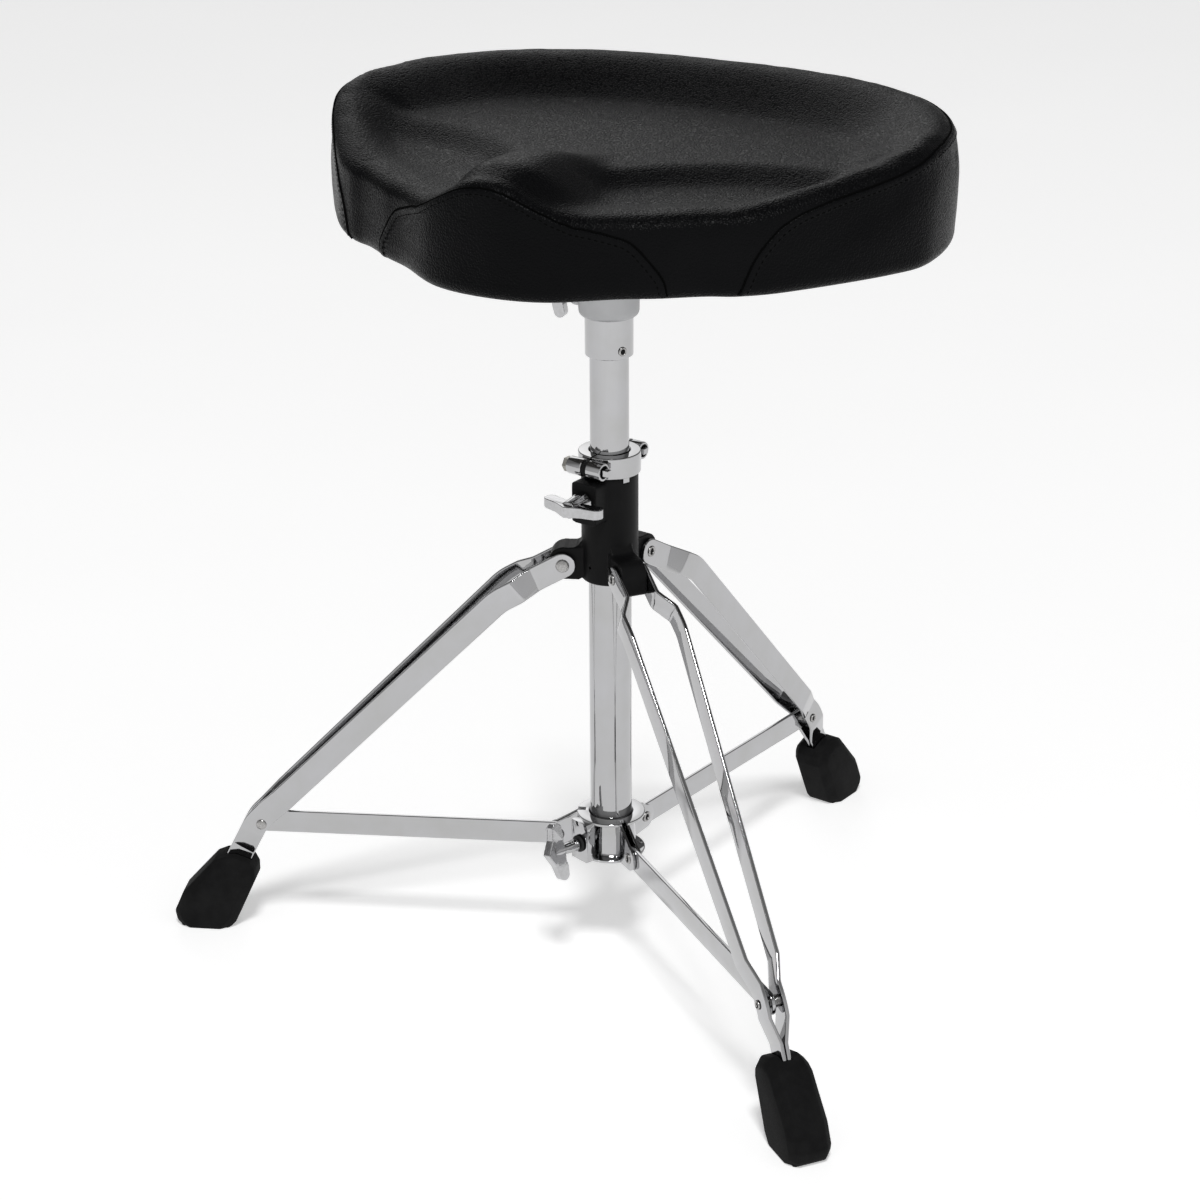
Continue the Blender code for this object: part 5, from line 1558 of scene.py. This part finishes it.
def remap(tree, value, source, target):
    """Value moved from one range to another, held at the ends."""
    node = tree.nodes.new("ShaderNodeMapRange")
    for name, number in zip(("From Min", "From Max", "To Min", "To Max"), (*source, *target)):
        node.inputs[name].default_value = number
    tree.links.new(value, node.inputs["Value"])
    return node.outputs["Result"]


def world_light(away, stops):
    """A grey room with one bright wall behind the object; away points at the wall."""
    world = bpy.data.worlds.new("studio")
    bpy.context.scene.world = world
    world.use_nodes = True
    tree = world.node_tree
    place = tree.nodes.new("ShaderNodeTexCoord")
    facing = tree.nodes.new("ShaderNodeVectorMath")
    facing.operation = "DOT_PRODUCT"
    facing.inputs[1].default_value = away
    tree.links.new(place.outputs["Generated"], facing.inputs[0])
    share = remap(tree, facing.outputs["Value"], (-1.0, 1.0), (0.0, 1.0))
    ramp = tree.nodes.new("ShaderNodeValToRGB")
    ramp.color_ramp.interpolation = "EASE"
    elements = ramp.color_ramp.elements
    elements[0].color = (*([stops[0][1]] * 3), 1)
    elements[1].color = (*([stops[-1][1]] * 3), 1)
    for position, value in stops[1:-1]:
        elements.new(position).color = (value, value, value, 1)
    tree.links.new(share, ramp.inputs["Fac"])
    split = tree.nodes.new("ShaderNodeSeparateXYZ")
    tree.links.new(place.outputs["Generated"], split.inputs["Vector"])
    roof = remap(tree, split.outputs["Z"], ROOF_RANGE, ROOF_TONES)
    tree.links.new(ramp.outputs["Color"], tree.nodes["Background"].inputs["Color"])
    tree.links.new(roof, tree.nodes["Background"].inputs["Strength"])


def area_light(name, location, target, size, power):
    data = bpy.data.lights.new(name, "AREA")
    data.shape = "RECTANGLE"
    data.size, data.size_y = size
    data.energy = power
    obj = link(bpy.data.objects.new(name, data))
    obj.location = location
    obj.rotation_euler = (Vector(target) - Vector(location)).to_track_quat("-Z", "Y").to_euler()
    return obj


def shade_only(light, objects):
    """Let a light throw the shadows of these objects only, so that the seat leaves the floor white."""
    blockers = bpy.data.collections.new("shadow_casters")
    for obj in objects:
        blockers.objects.link(obj)
    light.light_linking.blocker_collection = blockers


def camera(facts):
    """A long lens that looks down at the object from its front right."""
    data = bpy.data.cameras.new("camera")
    obj = link(bpy.data.objects.new("camera", data))
    azimuth = math.radians(CAMERA_AZIMUTH)
    away = Vector((math.sin(azimuth) * CAMERA_DISTANCE, -math.cos(azimuth) * CAMERA_DISTANCE, CAMERA_HEIGHT))
    obj.location = facts.axis + away
    turn = (Matrix.Rotation(azimuth + CAMERA_HEADING, 4, "Z")
            @ Matrix.Rotation(math.radians(90) - CAMERA_DIP, 4, "X")
            @ Matrix.Rotation(CAMERA_ROLL, 4, "Z"))
    obj.rotation_euler = turn.to_euler()
    data.sensor_width = 36.0
    data.lens = CAMERA_LENS
    data.clip_start = 0.05
    data.clip_end = 100.0
    bpy.context.scene.camera = obj


def main():
    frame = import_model()
    facts = Facts(frame)
    m = {"chrome": chrome(), "rivet": brushed_rivet(), "dark": dark_recess(), "cast": cast_chrome(),
         "zinc": zinc(), "paint": powder_coat(), "nylon": moulded_nylon(), "rubber": foot_rubber(),
         "satin": satin_casting(), "plywood": plywood(), "vinyl": vinyl(),
         "band": vinyl("vinyl_band", (0.0024, 0.0025, 0.0028), (0.0042, 0.0043, 0.0047), 0.8),
         "shadow": seam_shadow(), "thread": thread()}
    column(facts, m)
    legs(facts, m)
    clamp_collar(facts, m["chrome"])
    bolts(facts, m)
    seat_bracket(facts, m["satin"])
    seat_cushion(facts, m)
    kept_nodes(frame, m)
    floor()
    world_light(WALL_WAY, ROOM_TONES)
    key = area_light("key", location=(2.3, -3.0, 7.4), target=(0, 0, 0.2), size=(1.5, 1.5), power=330.0)
    shade_only(key, [obj for obj in bpy.data.objects
                     if obj.type == "MESH" and not obj.name.startswith("seat_")])
    camera(facts)
    bpy.context.scene.view_settings.view_transform = "Standard"


main()
